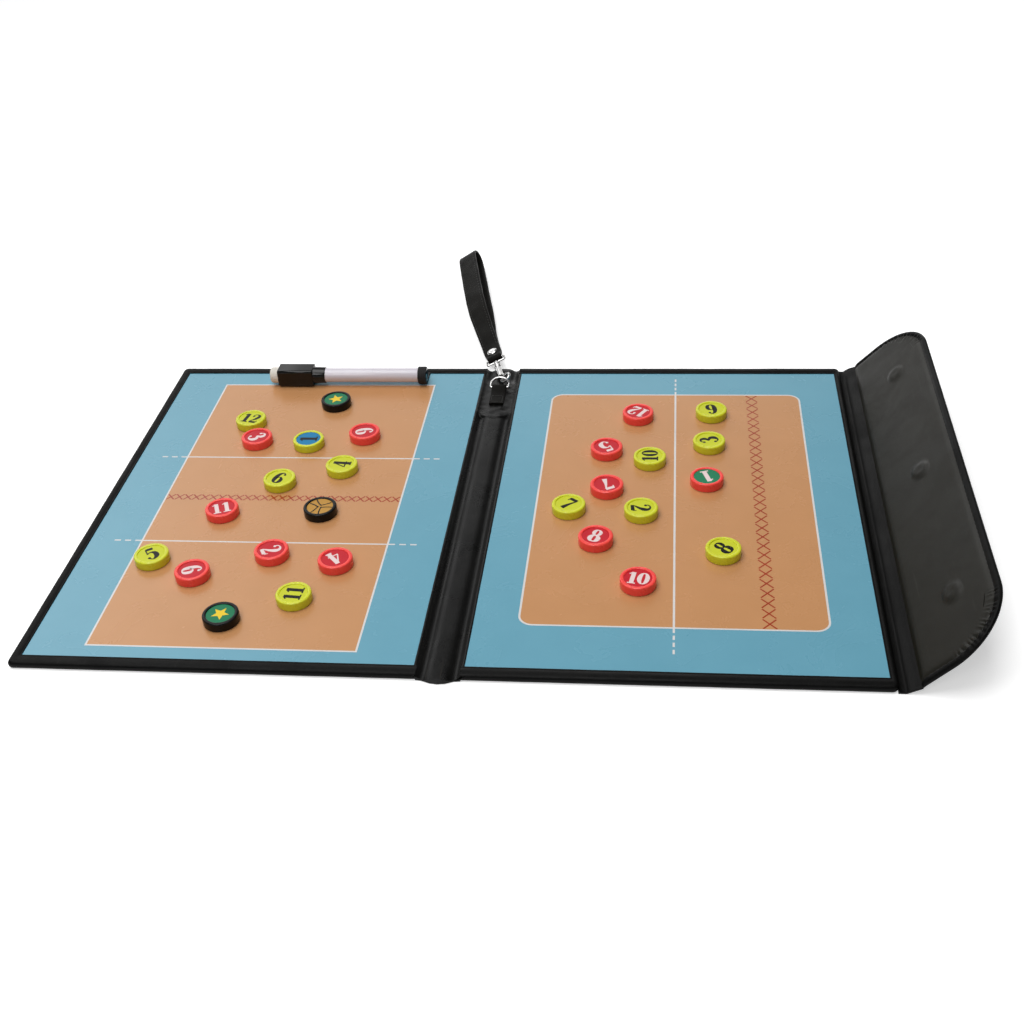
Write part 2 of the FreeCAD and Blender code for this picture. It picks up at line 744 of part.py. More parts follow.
def wrist_strap():
    """A leather band folded round the eye, riveted, and opening into a loop that lies on the table."""
    bar = V(0, EYE_FAR, 0)
    half = V(STRAP_WIDTH / 2, 0, 0)
    bore_r = EYE_WIRE / 2 + STRAP_BAR_FIT
    outer_r = bore_r + STRAP_THICKNESS
    rivet_y = EYE_FAR + RIVET_FROM_BAR
    bend_r = STRAP_GAP / 2 + STRAP_THICKNESS
    low = -STRAP_SETTLE - STRAP_THICKNESS
    high = low + 2 * bend_r
    joined = STRAP_THICKNESS
    flat_near = rivet_y - RIVET_CAP / 2 - RIVET_ROOM
    opens = rivet_y + RIVET_CAP / 2 + STRAP_FLAT
    outline = [
        (V(0, EYE_FAR, -outer_r), 0),
        (V(0, flat_near, -joined), 0),
        (V(0, opens, -joined), STRAP_OPENS),
        (V(0, STRAP_FULL, low), STRAP_OPENS),
        (V(0, STRAP_END, low), bend_r * NEARLY_FULL),
        (V(0, STRAP_END, high), bend_r * NEARLY_FULL),
        (V(0, STRAP_FULL, high), STRAP_OPENS),
        (V(0, opens, joined), STRAP_OPENS),
        (V(0, flat_near, joined), 0),
        (V(0, EYE_FAR, outer_r), 0),
    ]
    hollow_end = STRAP_END - STRAP_THICKNESS
    hollow_r = STRAP_GAP / 2
    hollow = [
        (V(0, opens, 0), 0),
        (V(0, STRAP_FULL, low + STRAP_THICKNESS), STRAP_OPENS),
        (V(0, hollow_end, low + STRAP_THICKNESS), hollow_r * NEARLY_FULL),
        (V(0, hollow_end, high - STRAP_THICKNESS), hollow_r * NEARLY_FULL),
        (V(0, STRAP_FULL, high - STRAP_THICKNESS), STRAP_OPENS),
    ]
    band = prism([(point - half, radius) for point, radius in outline], half * 2)
    band = band.fuse(rod(bar - half, bar + half, 2 * outer_r, ROUND_SIDES))
    band = band.cut(prism([(point - half * 2, radius) for point, radius in hollow], half * 4))
    band = band.cut(rod(bar - half * 2, bar + half * 2, 2 * bore_r, ROUND_SIDES))

    seat = V(0, rivet_y, joined)
    shank = rod(V(0, rivet_y, -joined), seat, RIVET_SHANK, SMALL_SIDES)
    cap = drum(seat, RIVET_CAP, RIVET_DOME, ROUND_SIDES)
    cap = cap.makeChamfer(RIVET_BEVEL, edges_where(cap, lambda b: b.ZMin > joined + RIVET_BEVEL))
    rivet = shank.fuse([cap, cap.mirror(V(), Z_DIR)])
    band = band.cut(shank)
    return {
        "wrist_strap": placed(band.removeSplitter(), CLASP_YAW, STRAP_ROLL),
        "strap_rivet": placed(rivet.removeSplitter(), CLASP_YAW, STRAP_ROLL),
    }


def build():
    pieces = {}
    for name, shape in panel(LEFT_HEM_SIDE, 0).items():
        pieces["left_" + name] = mirrored(shape)
    for name, shape in panel(RIGHT_HEM_SIDE, TONGUE).items():
        pieces["right_" + name] = shape
    pieces.update(spine())
    pieces.update(closing_flap())
    pieces.update(pen())
    pieces.update(ring_and_tab())
    pieces.update(snap_hook())
    pieces["swivel_eye"] = swivel_eye()
    pieces.update(wrist_strap())
    for side, places in ((-1, LEFT_COUNTERS), (1, RIGHT_COUNTERS)):
        for name, (across, along) in places.items():
            x = print_start + across * PRINT_WIDTH
            pieces[name] = counter(V(side * x, along * PRINT_DEPTH / 2))
    return pieces


os.makedirs("parts", exist_ok=True)
for name, shape in build().items():
    shape.exportStep("parts/" + name + ".step")
    print(name, len(shape.Solids), round(shape.Volume, 2), shape.isValid())
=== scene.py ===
import json
import math

import bmesh
import bpy
from mathutils import Matrix, Vector, noise


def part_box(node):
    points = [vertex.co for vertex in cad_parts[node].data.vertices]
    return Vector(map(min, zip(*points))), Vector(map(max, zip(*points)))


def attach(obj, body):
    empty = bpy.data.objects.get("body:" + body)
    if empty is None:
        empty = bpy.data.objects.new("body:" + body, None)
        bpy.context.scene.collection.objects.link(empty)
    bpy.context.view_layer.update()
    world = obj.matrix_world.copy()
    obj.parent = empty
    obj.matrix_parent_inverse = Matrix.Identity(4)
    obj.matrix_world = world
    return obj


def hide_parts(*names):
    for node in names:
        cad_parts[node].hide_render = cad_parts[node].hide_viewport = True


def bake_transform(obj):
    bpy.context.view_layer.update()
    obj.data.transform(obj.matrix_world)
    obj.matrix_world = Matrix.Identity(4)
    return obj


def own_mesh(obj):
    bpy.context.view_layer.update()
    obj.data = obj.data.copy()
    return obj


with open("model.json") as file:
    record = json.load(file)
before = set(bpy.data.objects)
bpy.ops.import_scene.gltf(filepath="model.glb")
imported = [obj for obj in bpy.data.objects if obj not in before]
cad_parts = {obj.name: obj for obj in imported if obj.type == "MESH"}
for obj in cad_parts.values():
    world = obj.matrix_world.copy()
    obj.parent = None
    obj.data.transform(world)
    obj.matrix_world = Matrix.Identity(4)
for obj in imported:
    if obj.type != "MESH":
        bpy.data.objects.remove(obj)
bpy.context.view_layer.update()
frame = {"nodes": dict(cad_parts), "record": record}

# A folding tactics board: leather covered panels with printed courts, magnetic counters,
# a pen in an elastic loop, and a wrist strap on a snap hook.
# Points are written in millimetres, in the CAD model's frame, and become metres in piece().

MM = 0.001
WELD = 2e-7

# Levels and lines of the CAD model
COURT_Z = 3.3
HALF_DEPTH = 157.5
PRINT_STOP = 224.75
PRINT_HALF = 150.0
PANEL_WALL = 11.4
LEFT_FORE = 230.75
RIGHT_FORE = 228.35
PANEL_CORNER = 3.0
GUSSET_CREASE = Vector((232.0, 0.0, 0.4))
GUSSET_TILT = math.radians(26)
GUSSET_WIDTH = 8.0
FLAP_TILT = math.radians(46)
FLAP_TIP = 54.5
FLAP_CORNER = 35.5


def lean(tilt):
    """The direction of a strip that rises towards +X."""
    return Vector((math.cos(tilt), 0, math.sin(tilt)))


def rise(tilt):
    """The direction out of that strip's upper side."""
    return Vector((-math.sin(tilt), 0, math.cos(tilt)))


FLAP_CREASE = GUSSET_CREASE + lean(GUSSET_TILT) * GUSSET_WIDTH


# Shapes

class Form:
    """Points in millimetres, the faces between them, and the number of each face's finish."""

    def __init__(self, rows=(), ring=False, loop=False):
        self.points = []
        self.faces = []
        self.finishes = []
        if rows:
            self.net(rows, ring=ring, loop=loop)

    def add(self, points, faces, finish=0):
        start = len(self.points)
        self.points.extend(points)
        for face in faces:
            self.faces.append(tuple(start + i for i in face))
            self.finishes.append(finish)

    def face(self, *points):
        self.add(points, [tuple(range(len(points)))])

    def net(self, rows, finish=0, ring=False, loop=False):
        """Quads between rows. ring closes each row on itself, loop joins the last row to the first."""
        width = len(rows[0])
        depth = len(rows)
        faces = []
        for i in range(depth if loop else depth - 1):
            here = i * width
            there = (i + 1) % depth * width
            for j in range(width if ring else width - 1):
                beside = (j + 1) % width
                faces.append((here + j, here + beside, there + beside, there + j))
        self.add([point for row in rows for point in row], faces, finish)


def placed(name, data):
    """An object in the scene for a mesh, lamp or camera."""
    made = bpy.data.objects.new(name, data)
    bpy.context.scene.collection.objects.link(made)
    return made


def piece(name, form, finishes, body=None, stands_for=(), crease=40, closed=True):
    """A mesh from a form. A closed piece has its open ends filled and its faces turned out."""
    mesh = bpy.data.meshes.new(name)
    mesh.from_pydata([Vector(point) * MM for point in form.points], [], form.faces)
    for finish in finishes:
        mesh.materials.append(finish)
    mesh.polygons.foreach_set("material_index", form.finishes)
    work = bmesh.new()
    work.from_mesh(mesh)
    if closed:
        bmesh.ops.remove_doubles(work, verts=work.verts, dist=WELD)
        bmesh.ops.dissolve_degenerate(work, edges=work.edges, dist=WELD)
        open_edges = [edge for edge in work.edges if edge.is_boundary]
        bmesh.ops.holes_fill(work, edges=open_edges, sides=0)
        bmesh.ops.recalc_face_normals(work, faces=work.faces)
    work.to_mesh(mesh)
    work.free()
    mesh.shade_smooth()
    mesh.set_sharp_from_angle(angle=math.radians(crease))
    made = placed(name, mesh)
    if body:
        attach(made, body)
    if stands_for:
        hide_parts(*stands_for)
    return made


def ease(share):
    """0 to 1 with a soft start and end."""
    share = min(max(share, 0.0), 1.0)
    return share * share * (3 - 2 * share)


def spread(start, stop, steps):
    return [start + (stop - start) * i / steps for i in range(steps + 1)]


def ripple(point, size, seed):
    """The slow unevenness of soft leather, about -1 to 1."""
    return noise.noise(Vector(point) / size + Vector((seed, 1.7 * seed, 0.3 * seed)))


def waves(point, layers):
    """Ripples added up. layers: (height, size, seed) of each."""
    return sum(height * ripple(point, size, seed) for height, size, seed in layers)


def turn_about(axis, degrees):
    return Matrix.Rotation(math.radians(degrees), 4, axis)


def circle(sides):
    """(cosine, sine) pairs of a full turn in equal steps."""
    turns = [2 * math.pi * i / sides for i in range(sides)]
    return [(math.cos(turn), math.sin(turn)) for turn in turns]


def arc(centre, radius, start, stop, steps):
    """Points (x, y) on an arc, angles in degrees."""
    turns = [math.radians(angle) for angle in spread(start, stop, steps)]
    return [(centre[0] + radius * math.cos(t), centre[1] + radius * math.sin(t)) for t in turns]


def flowing(points, steps, loop=False):
    """A smooth line through points of any size, as a list of tuples."""
    count = len(points)
    line = []
    for i in range(count if loop else count - 1):
        places = [(i + k) % count if loop else min(max(i + k, 0), count - 1) for k in (-1, 0, 1, 2)]
        sets = list(zip(*(points[place] for place in places)))
        for t in spread(0, 1, steps)[:-1]:
            line.append(tuple(
                0.5 * (
                    2 * b + (c - a) * t + (2 * a - 5 * b + 4 * c - d) * t ** 2
                    + (3 * b - a - 3 * c + d) * t ** 3
                )
                for a, b, c, d in sets
            ))
    if not loop:
        line.append(tuple(points[-1]))
    return line


def heading(line, i, loop=False):
    """The direction of a line of points at one of them."""
    last = len(line) - 1
    ahead = line[(i + 1) % len(line)] if loop else line[min(i + 1, last)]
    behind = line[i - 1] if loop else line[max(i - 1, 0)]
    return Vector([a - b for a, b in zip(ahead, behind)]).normalized()


def left_of(along):
    return Vector((-along.y, along.x))


def lap(place, radius, height, sides):
    """A ring of points about the local Z axis."""
    return [place @ Vector((radius * c, radius * s, height)) for c, s in circle(sides)]


def turned(form, profile, place, sides, finish=0):
    """A turned surface about the local Z axis. profile: (radius, height) pairs."""
    form.net([lap(place, radius, height, sides) for radius, height in profile], finish, ring=True)


def spun(profile, place, sides):
    """A form turned about an axis. profile: (distance along the axis, radius) pairs."""
    return Form([lap(place, radius, distance, sides) for distance, radius in profile], ring=True)


def wire(form, path, radius, sides, loop=False, finish=0):
    """A round wire along a path. radius is a number, or one for each point."""
    radii = radius if isinstance(radius, list) else [radius] * len(path)
    across = None
    rows = []
    for i, point in enumerate(path):
        along = heading(path, i, loop)
        across = across or along.orthogonal()
        across = (across - along * across.dot(along)).normalized()
        up = along.cross(across)
        rows.append([point + (across * c + up * s) * radii[i] for c, s in circle(sides)])
    form.net(rows, finish, ring=True, loop=loop)


def soft_section(half_width, half_thickness, edge):
    """(across, out) points of a strip's section with rounded edges."""
    points = []
    for sign_w, sign_t, start in ((1, 1, 0), (-1, 1, 90), (-1, -1, 180), (1, -1, 270)):
        centre = (sign_w * (half_width - edge), sign_t * (half_thickness - edge))
        points.extend(arc(centre, edge, start, start + 90, 3))
    return points


BAND_EDGE = 0.3


def band(form, x, line, half_width, half_thickness, loop=False):
    """A flat band along a line of (y, z) pairs, its width along X."""
    section = soft_section(half_width, half_thickness, BAND_EDGE)
    across = Vector((1, 0, 0))
    path = [Vector((x, y, z)) for y, z in line]
    rows = []
    for i, point in enumerate(path):
        out = heading(path, i, loop).cross(across)
        rows.append([point + across * w + out * h for w, h in section])
    form.net(rows, ring=True, loop=loop)


STITCH_LINE = (
    # share of the stitch's length, then lift and girth as shares of its thickness
    (0, -0.9, 0.45), (0.12, 0.1, 0.85), (0.5, 0.45, 1.0), (0.88, 0.1, 0.85), (1, -0.9, 0.45),
)
STITCH_SIDES = 6


def stitch(form, start, stop, up, thickness, finish=0):
    """One sewn stitch, a small bowed thread that dips in at both ends."""
    path = [start.lerp(stop, share) + up * (lift * thickness) for share, lift, _ in STITCH_LINE]
    radii = [girth * thickness for _, _, girth in STITCH_LINE]
    wire(form, path, radii, STITCH_SIDES, finish=finish)


# Finishes

def put(tree, kind, inputs=None, **options):
    """Adds a node with its options. Each input is a plain value, or the socket that it comes from."""
    made = tree.nodes.new("ShaderNode" + kind)
    for key, value in options.items():
        setattr(made, key, value)
    for key, value in (inputs or {}).items():
        if isinstance(value, bpy.types.NodeSocket):
            tree.links.new(value, made.inputs[key])
        else:
            made.inputs[key].default_value = value
    return made


def maths(tree, operation, *terms):
    return put(tree, "Math", dict(enumerate(terms)), operation=operation).outputs[0]


def sum_of(tree, first, first_share, second, second_share):
    """first x its share + second x its share."""
    return maths(tree, "MULTIPLY_ADD", second, second_share, maths(tree, "MULTIPLY", first, first_share))


def ranged(tree, source, low, high, to_low=0.0, to_high=1.0, smooth=True):
    """source from low to high, as a value from to_low to to_high."""
    values = {"Value": source, "From Min": low, "From Max": high, "To Min": to_low, "To Max": to_high}
    curve = "SMOOTHSTEP" if smooth else "LINEAR"
    return put(tree, "MapRange", values, interpolation_type=curve, clamp=True).outputs["Result"]


def mixed(tree, share, first, second):
    """A colour between two colours or sockets."""
    made = put(tree, "Mix", {"Factor": share, "A": first, "B": second}, data_type="RGBA")
    return next(socket for socket in made.outputs if socket.type == "RGBA")


def clouds(tree, place, scale, detail, roughness=0.5, distortion=0.0):
    """The shade of a noise texture."""
    values = {
        "Vector": place, "Scale": scale, "Detail": detail,
        "Roughness": roughness, "Distortion": distortion,
    }
    return put(tree, "TexNoise", values).outputs["Fac"]


def effect(name, scale, build, outputs=("Height", "Tone")):
    """A node group with a scale, on the object's own coordinates. build gives what it puts out."""
    group = bpy.data.node_groups.new(name, "ShaderNodeTree")

    def socket(title, way):
        return group.interface.new_socket(title, in_out=way, socket_type="NodeSocketFloat")

    socket("Scale", "INPUT").default_value = scale
    for title in outputs:
        socket(title, "OUTPUT")
    entry = group.nodes.new("NodeGroupInput")
    leave = group.nodes.new("NodeGroupOutput")
    place = put(group, "TexCoord").outputs["Object"]
    for title, value in zip(outputs, build(group, place, entry.outputs["Scale"])):
        group.links.new(value, leave.inputs[title])
    return group


def leather_grain(group, place, scale):
    """Pebbled grain: raised cells of uneven size with fine pores, and slow shifts of tone."""
    warp = put(group, "TexNoise", {"Vector": place, "Scale": 260.0, "Detail": 2.0}).outputs["Color"]
    steps = {0: warp, 1: (0.0014, 0.0014, 0.0014), 2: place}
    shifted = put(group, "VectorMath", steps, operation="MULTIPLY_ADD").outputs[0]
    cells = put(group, "TexVoronoi", {"Vector": shifted, "Scale": scale}, feature="DISTANCE_TO_EDGE")
    pebble = ranged(group, cells.outputs["Distance"], 0.0, 0.28)
    pores = clouds(group, place, 3800.0, 3.0)
    slow = clouds(group, place, 28.0, 5.0)
    return sum_of(group, pebble, 0.75, pores, 0.25), sum_of(group, pebble, 0.3, slow, 0.7)


def moulded_skin(group, place, scale):
    """Moulded or laminated plastic: a faint orange-peel and cloudy tone."""
    peel = clouds(group, place, scale, 2.0)
    slow = clouds(group, place, 45.0, 4.0)
    return peel, sum_of(group, slow, 0.8, peel, 0.2)


def drawn_metal(group, place, scale):
    """Polished wire and sheet: fine lines along one direction and slow clouding."""
    steps = {0: place, 1: (1.0, 0.06, 1.0)}
    stretched = put(group, "VectorMath", steps, operation="MULTIPLY").outputs[0]
    lines = clouds(group, stretched, scale, 4.0)
    slow = clouds(group, place, 220.0, 3.0)
    return lines, sum_of(group, lines, 0.5, slow, 0.5)


def matted_fibre(group, place, scale):
    """Felt, thread and pressed board: short tangled fibres."""
    tangle = clouds(group, place, scale, 6.0, 0.7, 1.5)
    clumps = clouds(group, place, 320.0, 3.0)
    return tangle, sum_of(group, tangle, 0.6, clumps, 0.4)


def ribbed_weave(group, place, scale):
    """Woven elastic: ribs along X crossed by finer threads."""
    values = {"Vector": place, "Scale": scale, "Distortion": 0.3, "Detail": 1.0}
    ribs = put(group, "TexWave", values, wave_type="BANDS", bands_direction="X").outputs["Fac"]
    threads = clouds(group, place, 2600.0, 3.0)
    return sum_of(group, ribs, 0.7, threads, 0.3), sum_of(group, ribs, 0.5, threads, 0.5)


def handling(group, place, scale):
    """What use leaves: soft smudges, and thin straight scuffs."""
    smudge = clouds(group, place, scale, 5.0, 0.6, 0.6)
    slant = {"Vector": place, "Rotation": (0.0, 0.0, 0.6), "Scale": (1.0, 0.03, 1.0)}
    scratch = clouds(group, put(group, "Mapping", slant).outputs[0], 900.0, 2.0)
    return ranged(group, smudge, 0.35, 0.68), ranged(group, scratch, 0.66, 0.74)


GRAIN = effect("leather_grain", 900.0, leather_grain)
SKIN = effect("moulded_skin", 900.0, moulded_skin)
DRAWN = effect("drawn_metal", 900.0, drawn_metal)
FIBRE = effect("matted_fibre", 1500.0, matted_fibre)
WEAVE = effect("ribbed_weave", 1100.0, ribbed_weave)
HANDLING = effect("handling", 30.0, handling, ("Smudge", "Scuff"))


def linear(red, green, blue):
    """A colour as seen on a screen, 0 to 255, as the shader's linear colour."""
    return tuple(
        ((c / 255 + 0.055) / 1.055) ** 2.4 if c > 10 else c / 255 / 12.92 for c in (red, green, blue)
    ) + (1.0,)


def finish(
    name, dark, light, rough, pattern, scale, bump, depth,
    worn=None, wear=0.0, gloss=0.5, metallic=0.0,
):
    """A material: tone from dark to light, roughness with smudges, worn scuffs, bump (depth in mm)."""
    material = bpy.data.materials.new(name)
    material.use_nodes = True
    tree = material.node_tree
    shader = tree.nodes["Principled BSDF"].inputs
    shader["Specular IOR Level"].default_value = gloss
    shader["Metallic"].default_value = metallic
    relief = put(tree, "Group", {"Scale": scale}, node_tree=pattern).outputs
    marks = put(tree, "Group", node_tree=HANDLING).outputs
    tone = ranged(tree, relief["Tone"], 0.25, 0.75, smooth=False)
    colour = mixed(tree, tone, linear(*dark), linear(*light))
    if worn:
        colour = mixed(tree, maths(tree, "MULTIPLY", marks["Scuff"], wear), colour, linear(*worn))
    raised = put(tree, "Bump", {"Strength": bump, "Distance": depth * MM, "Height": relief["Height"]})
    tree.links.new(colour, shader["Base Color"])
    tree.links.new(ranged(tree, marks["Smudge"], 0.0, 1.0, *rough, smooth=False), shader["Roughness"])
    tree.links.new(raised.outputs["Normal"], shader["Normal"])
    return material


leather = finish(
    "black_leather", (6, 6, 6), (12, 12, 11), (0.34, 0.52), GRAIN, 1000.0, 0.35, 0.12,
    (38, 36, 34), 0.2, gloss=0.08,
)
lining = finish(
    "lining_leather", (17, 16, 9), (25, 23, 14), (0.38, 0.52), GRAIN, 1300.0, 0.25, 0.10,
    (56, 54, 50), 0.25, gloss=0.28,
)
spine_leather = finish(
    "spine_leather", (6, 6, 6), (12, 12, 11), (0.24, 0.4), GRAIN, 1000.0, 0.3, 0.12,
    (62, 57, 50), 0.3, gloss=0.15,
)
strap_leather = finish(
    "strap_leather", (11, 10, 8), (19, 18, 15), (0.36, 0.54), GRAIN, 1500.0, 0.4, 0.12,
    (50, 46, 40), 0.25, gloss=0.05,
)
thread = finish("black_thread", (24, 24, 24), (58, 57, 55), (0.6, 0.8), FIBRE, 2500.0, 0.6, 0.05)
metal = finish(
    "bright_metal", (196, 196, 198), (224, 223, 220), (0.14, 0.28), DRAWN, 1600.0, 0.12, 0.02,
    (150, 148, 144), 0.5, metallic=1.0,
)
steel = finish(
    "plain_steel", (150, 150, 152), (178, 178, 178), (0.3, 0.45), DRAWN, 900.0, 0.2, 0.03,
    (120, 118, 116), 0.5, metallic=1.0,
)
board = finish("fibre_board", (150, 138, 118), (184, 172, 150), (0.75, 0.9), FIBRE, 900.0, 0.5, 0.1)
elastic = finish("black_elastic", (8, 8, 9), (24, 24, 25), (0.65, 0.8), WEAVE, 260.0, 0.7, 0.15)
black_plastic = finish(
    "black_plastic", (9, 9, 9), (16, 16, 16), (0.1, 0.2), SKIN, 1800.0, 0.06, 0.05,
    (70, 70, 72), 0.3, gloss=0.32,
)
white_plastic = finish(
    "white_plastic", (214, 208, 217), (226, 221, 229), (0.07, 0.14), SKIN, 1200.0, 0.03, 0.05,
    (190, 190, 198), 0.3,
)
wick = finish("fibre_wick", (30, 30, 34), (60, 60, 66), (0.7, 0.9), FIBRE, 2200.0, 0.5, 0.06)
felt = finish("white_felt", (214, 208, 196), (240, 236, 228), (0.85, 0.98), FIBRE, 2400.0, 0.9, 0.3)
magnet = finish("dark_magnet", (58, 57, 56), (82, 80, 78), (0.5, 0.7), FIBRE, 1400.0, 0.3, 0.05)


def court_ink(name, dark, light, rough, worn=None):
    return finish(name, dark, light, rough, SKIN, 70.0, 0.03, 0.2, worn, 0.04)


def plastic(name, dark, light, gloss=0.5):
    return finish(name, dark, light, (0.24, 0.38), SKIN, 1500.0, 0.08, 0.05, gloss=gloss)


def label(name, dark, light):
    return finish(name, dark, light, (0.3, 0.45), SKIN, 2200.0, 0.06, 0.04, gloss=0.2)


print_blue = court_ink("court_blue", (100, 160, 181), (104, 164, 185), (0.26, 0.28), (126, 178, 195))
print_tan = court_ink("court_tan", (194, 140, 92), (199, 144, 96), (0.26, 0.28), (205, 156, 113))
print_white = court_ink("court_white", (210, 208, 206), (222, 220, 218), (0.25, 0.28))
print_red = court_ink("court_red", (150, 42, 10), (164, 50, 16), (0.25, 0.28))
yellow_cup = plastic("yellow_cup", (202, 208, 30), (216, 220, 44))
red_cup = plastic("red_cup", (246, 66, 60), (254, 78, 70))
black_cup = plastic("black_cup", (7, 6, 6), (13, 12, 12), 0.2)
yellow_label = label("yellow_label", (196, 203, 40), (210, 215, 54))
red_label = label("red_label", (190, 26, 40), (204, 34, 48))
blue_label = label("blue_label", (0, 118, 168), (6, 128, 180))
green_label = label("green_label", (22, 120, 82), (30, 132, 92))
deep_green_label = label("deep_green_label", (14, 112, 74), (26, 128, 88))
gold_label = label("gold_label", (180, 132, 54), (196, 148, 66))
black_ink = label("black_ink", (8, 8, 8), (16, 16, 16))
white_ink = label("white_ink", (228, 206, 205), (240, 220, 218))
yellow_ink = label("yellow_ink", (232, 196, 40), (244, 210, 56))


# Panels and spine

HEM_PROFILE = (
    # share of the hem's width, distance from there, height
    (0, 0.0, 2.98), (0, 0.0, 3.45), (0, 0.15, 3.72), (0, 0.45, 3.82), (0, 0.8, 3.77),
    (0, 1.1, 3.64), (0, 1.4, 3.7), (0, 1.9, 3.88), (0.5, 0.0, 4.0), (1, -1.9, 3.97), (1, -1.1, 3.8),
    (1, -0.5, 3.42), (1, -0.12, 2.8), (1, 0.0, 2.0), (1, -0.1, 1.1), (1, -0.45, 0.4),
    (1, -1.0, 0.06), (1, -1.8, 0.0),
)
FULL_HEM = 5.0
HEM_CREST = 3.9
HEM_SOFT_FROM = 3.5
HEM_SLACK = 0.10
HEM_FOLDS = 0.05
WALL_SLACK = 0.12


def mirrored(point):
    return (point[0], -point[1])


def hem_path(fore):
    """(inner, outer) pairs from the spine round the near, fore and far edges of a panel."""
    turn_x = fore - PANEL_CORNER
    turn_y = HALF_DEPTH - PANEL_CORNER
    reach = (PRINT_STOP - PANEL_WALL) / (turn_x - PANEL_WALL)
    near = []
    for x in spread(PANEL_WALL, turn_x, 60):
        near.append(((PANEL_WALL + (x - PANEL_WALL) * reach, -PRINT_HALF), (x, -HALF_DEPTH)))
    for point in arc((turn_x, -turn_y), PANEL_CORNER, -90, 0, 6)[1:]:
        near.append(((PRINT_STOP, -PRINT_HALF), point))
    edge = []
    for y in spread(-turn_y, turn_y, 90)[1:-1]:
        edge.append(((PRINT_STOP, y * PRINT_HALF / turn_y), (fore, y)))
    return near + edge + [(mirrored(inner), mirrored(outer)) for inner, outer in reversed(near)]


def panel_cover(side, fore, seed):
    """A leather tray with a soft turned hem on three edges."""
    rows = []
    for inner, outer in hem_path(fore):
        start = Vector((*inner, 0))
        across = Vector((*outer, 0)) - start
        width = across.length
        across.normalize()
        tight = min(1.0, width / FULL_HEM)
        row = []
        for share, offset, z in HEM_PROFILE:
            point = start + across * (share * width + offset * tight)
            soft = ease((z - HEM_SOFT_FROM) / 0.3)
            slack = ripple(point, 16, seed)
            point.z = z + soft * (HEM_SLACK * slack + HEM_FOLDS * ripple(point, 5, seed))
            if share == 1 and 0 < z < HEM_CREST and point.x > PANEL_WALL + 1:
                point += across * (WALL_SLACK * slack)
            point.x *= side
            row.append(point)
        rows.append(row)
    form = Form(rows)
    half = len(rows) // 2
    for column in (0, -1):
        pairs = [[rows[i][column], rows[-1 - i][column]] for i in range(half)]
        form.net(pairs)
        form.face(pairs[-1][0], rows[half][column], pairs[-1][1])
    return form


for word, side, fore, seed in (("left", -1, LEFT_FORE, 3.0), ("right", 1, RIGHT_FORE, 7.0)):
    cover = panel_cover(side, fore, seed)
    piece(f"{word}_panel_leather", cover, [leather], f"{word}_panel", [f"{word}_cover"])

SPINE_TOP = (
    # distance from the middle, height
    (0.0, 3.00), (2.6, 3.02), (4.2, 2.86), (5.5, 2.42), (6.6, 1.75), (7.5, 1.28), (8.4, 1.15),
    (9.3, 1.38), (10.2, 1.95), (11.0, 2.70), (11.6, 3.30), (12.1, 3.62), (12.7, 3.66),
    (13.15, 3.50), (13.25, 3.30),
)
SPINE_UNDER = (
    (13.25, 3.0), (12.4, 2.95), (11.7, 2.9), (11.7, 1.4), (11.7, 0.0), (11.1, 0.0), (10.5, 0.0),
    (9.9, 0.0), (9.2, 0.0), (8.4, 0.0), (4.0, 0.0), (0.0, 0.0),
)
RIDGE_HALF = 9.0
ROLL_LENGTH = 7.0
NEAR_ROLL = 2.6
FAR_ROLL = 1.0
PATCH_START = 92.0
PATCH_FADE = 146.0
PATCH_LEVEL = 2.45
# Layers of slack leather: height, size, seed
SPINE_SLACK = ((0.16, 22, 5.0), (0.07, 6, 9.0))
PATCH_FOLDS = ((0.24, 5, 13.0), (0.10, 2.4, 17.0))
# Close rows where the patch begins
FINE_FROM = 88.0
FINE_TO = 104.0


def end_patch(x, y):
    """0 to 1 on the extra leather under the ring's tab: a rounded edge, fading out under the hook."""
    edge = PATCH_START + 0.05 * x * x
    return ease((y - edge) / 0.9) * ease((PATCH_FADE - y) / 10.0) * ease((12.2 - x) / 1.2)


def spine_half(side):
    """Half of the spine: a soft ridge, a crease, the welt along the print, and rolled ends."""
    rows = []
    lengths = spread(-HALF_DEPTH, FINE_FROM, 100) + spread(FINE_FROM, FINE_TO, 40)[1:]
    for y in lengths + spread(FINE_TO, HALF_DEPTH, 50)[1:]:
        end = ease((HALF_DEPTH - abs(y)) / 3.0)
        rolled = ease((abs(y) - HALF_DEPTH + ROLL_LENGTH) / ROLL_LENGTH)
        row = []
        for i, (x, z) in enumerate(SPINE_TOP + SPINE_UNDER):
            place = Vector((side * x, y, z))
            flat = (side * x, y, 0)
            middle = max(0.0, 1 - (x / RIDGE_HALF) ** 2)
            if i < len(SPINE_TOP):
                soft = min(1.0, (z - 0.6) / 2.0)
                raised = max(0.0, PATCH_LEVEL - z) * 0.75 + 0.45 + waves(flat, PATCH_FOLDS)
                place.z += end_patch(x, y) * raised
                place.z = place.z * (0.82 + 0.18 * end) + soft * waves(flat, SPINE_SLACK)
            place.y += math.copysign(rolled * middle * (NEAR_ROLL if y < 0 else FAR_ROLL), y)
            row.append(place)
        rows.append(row)
    return Form(rows, ring=True)


left_spine = piece("left_spine_leather", spine_half(-1), [spine_leather], crease=50)
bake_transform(left_spine)
right_spine = piece(
    "right_spine_leather", spine_half(1), [spine_leather],
    stands_for=["spine_cover", "spine_lining", "spine_stiffener"], crease=50,
)
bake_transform(right_spine)


# Gusset and closing flap

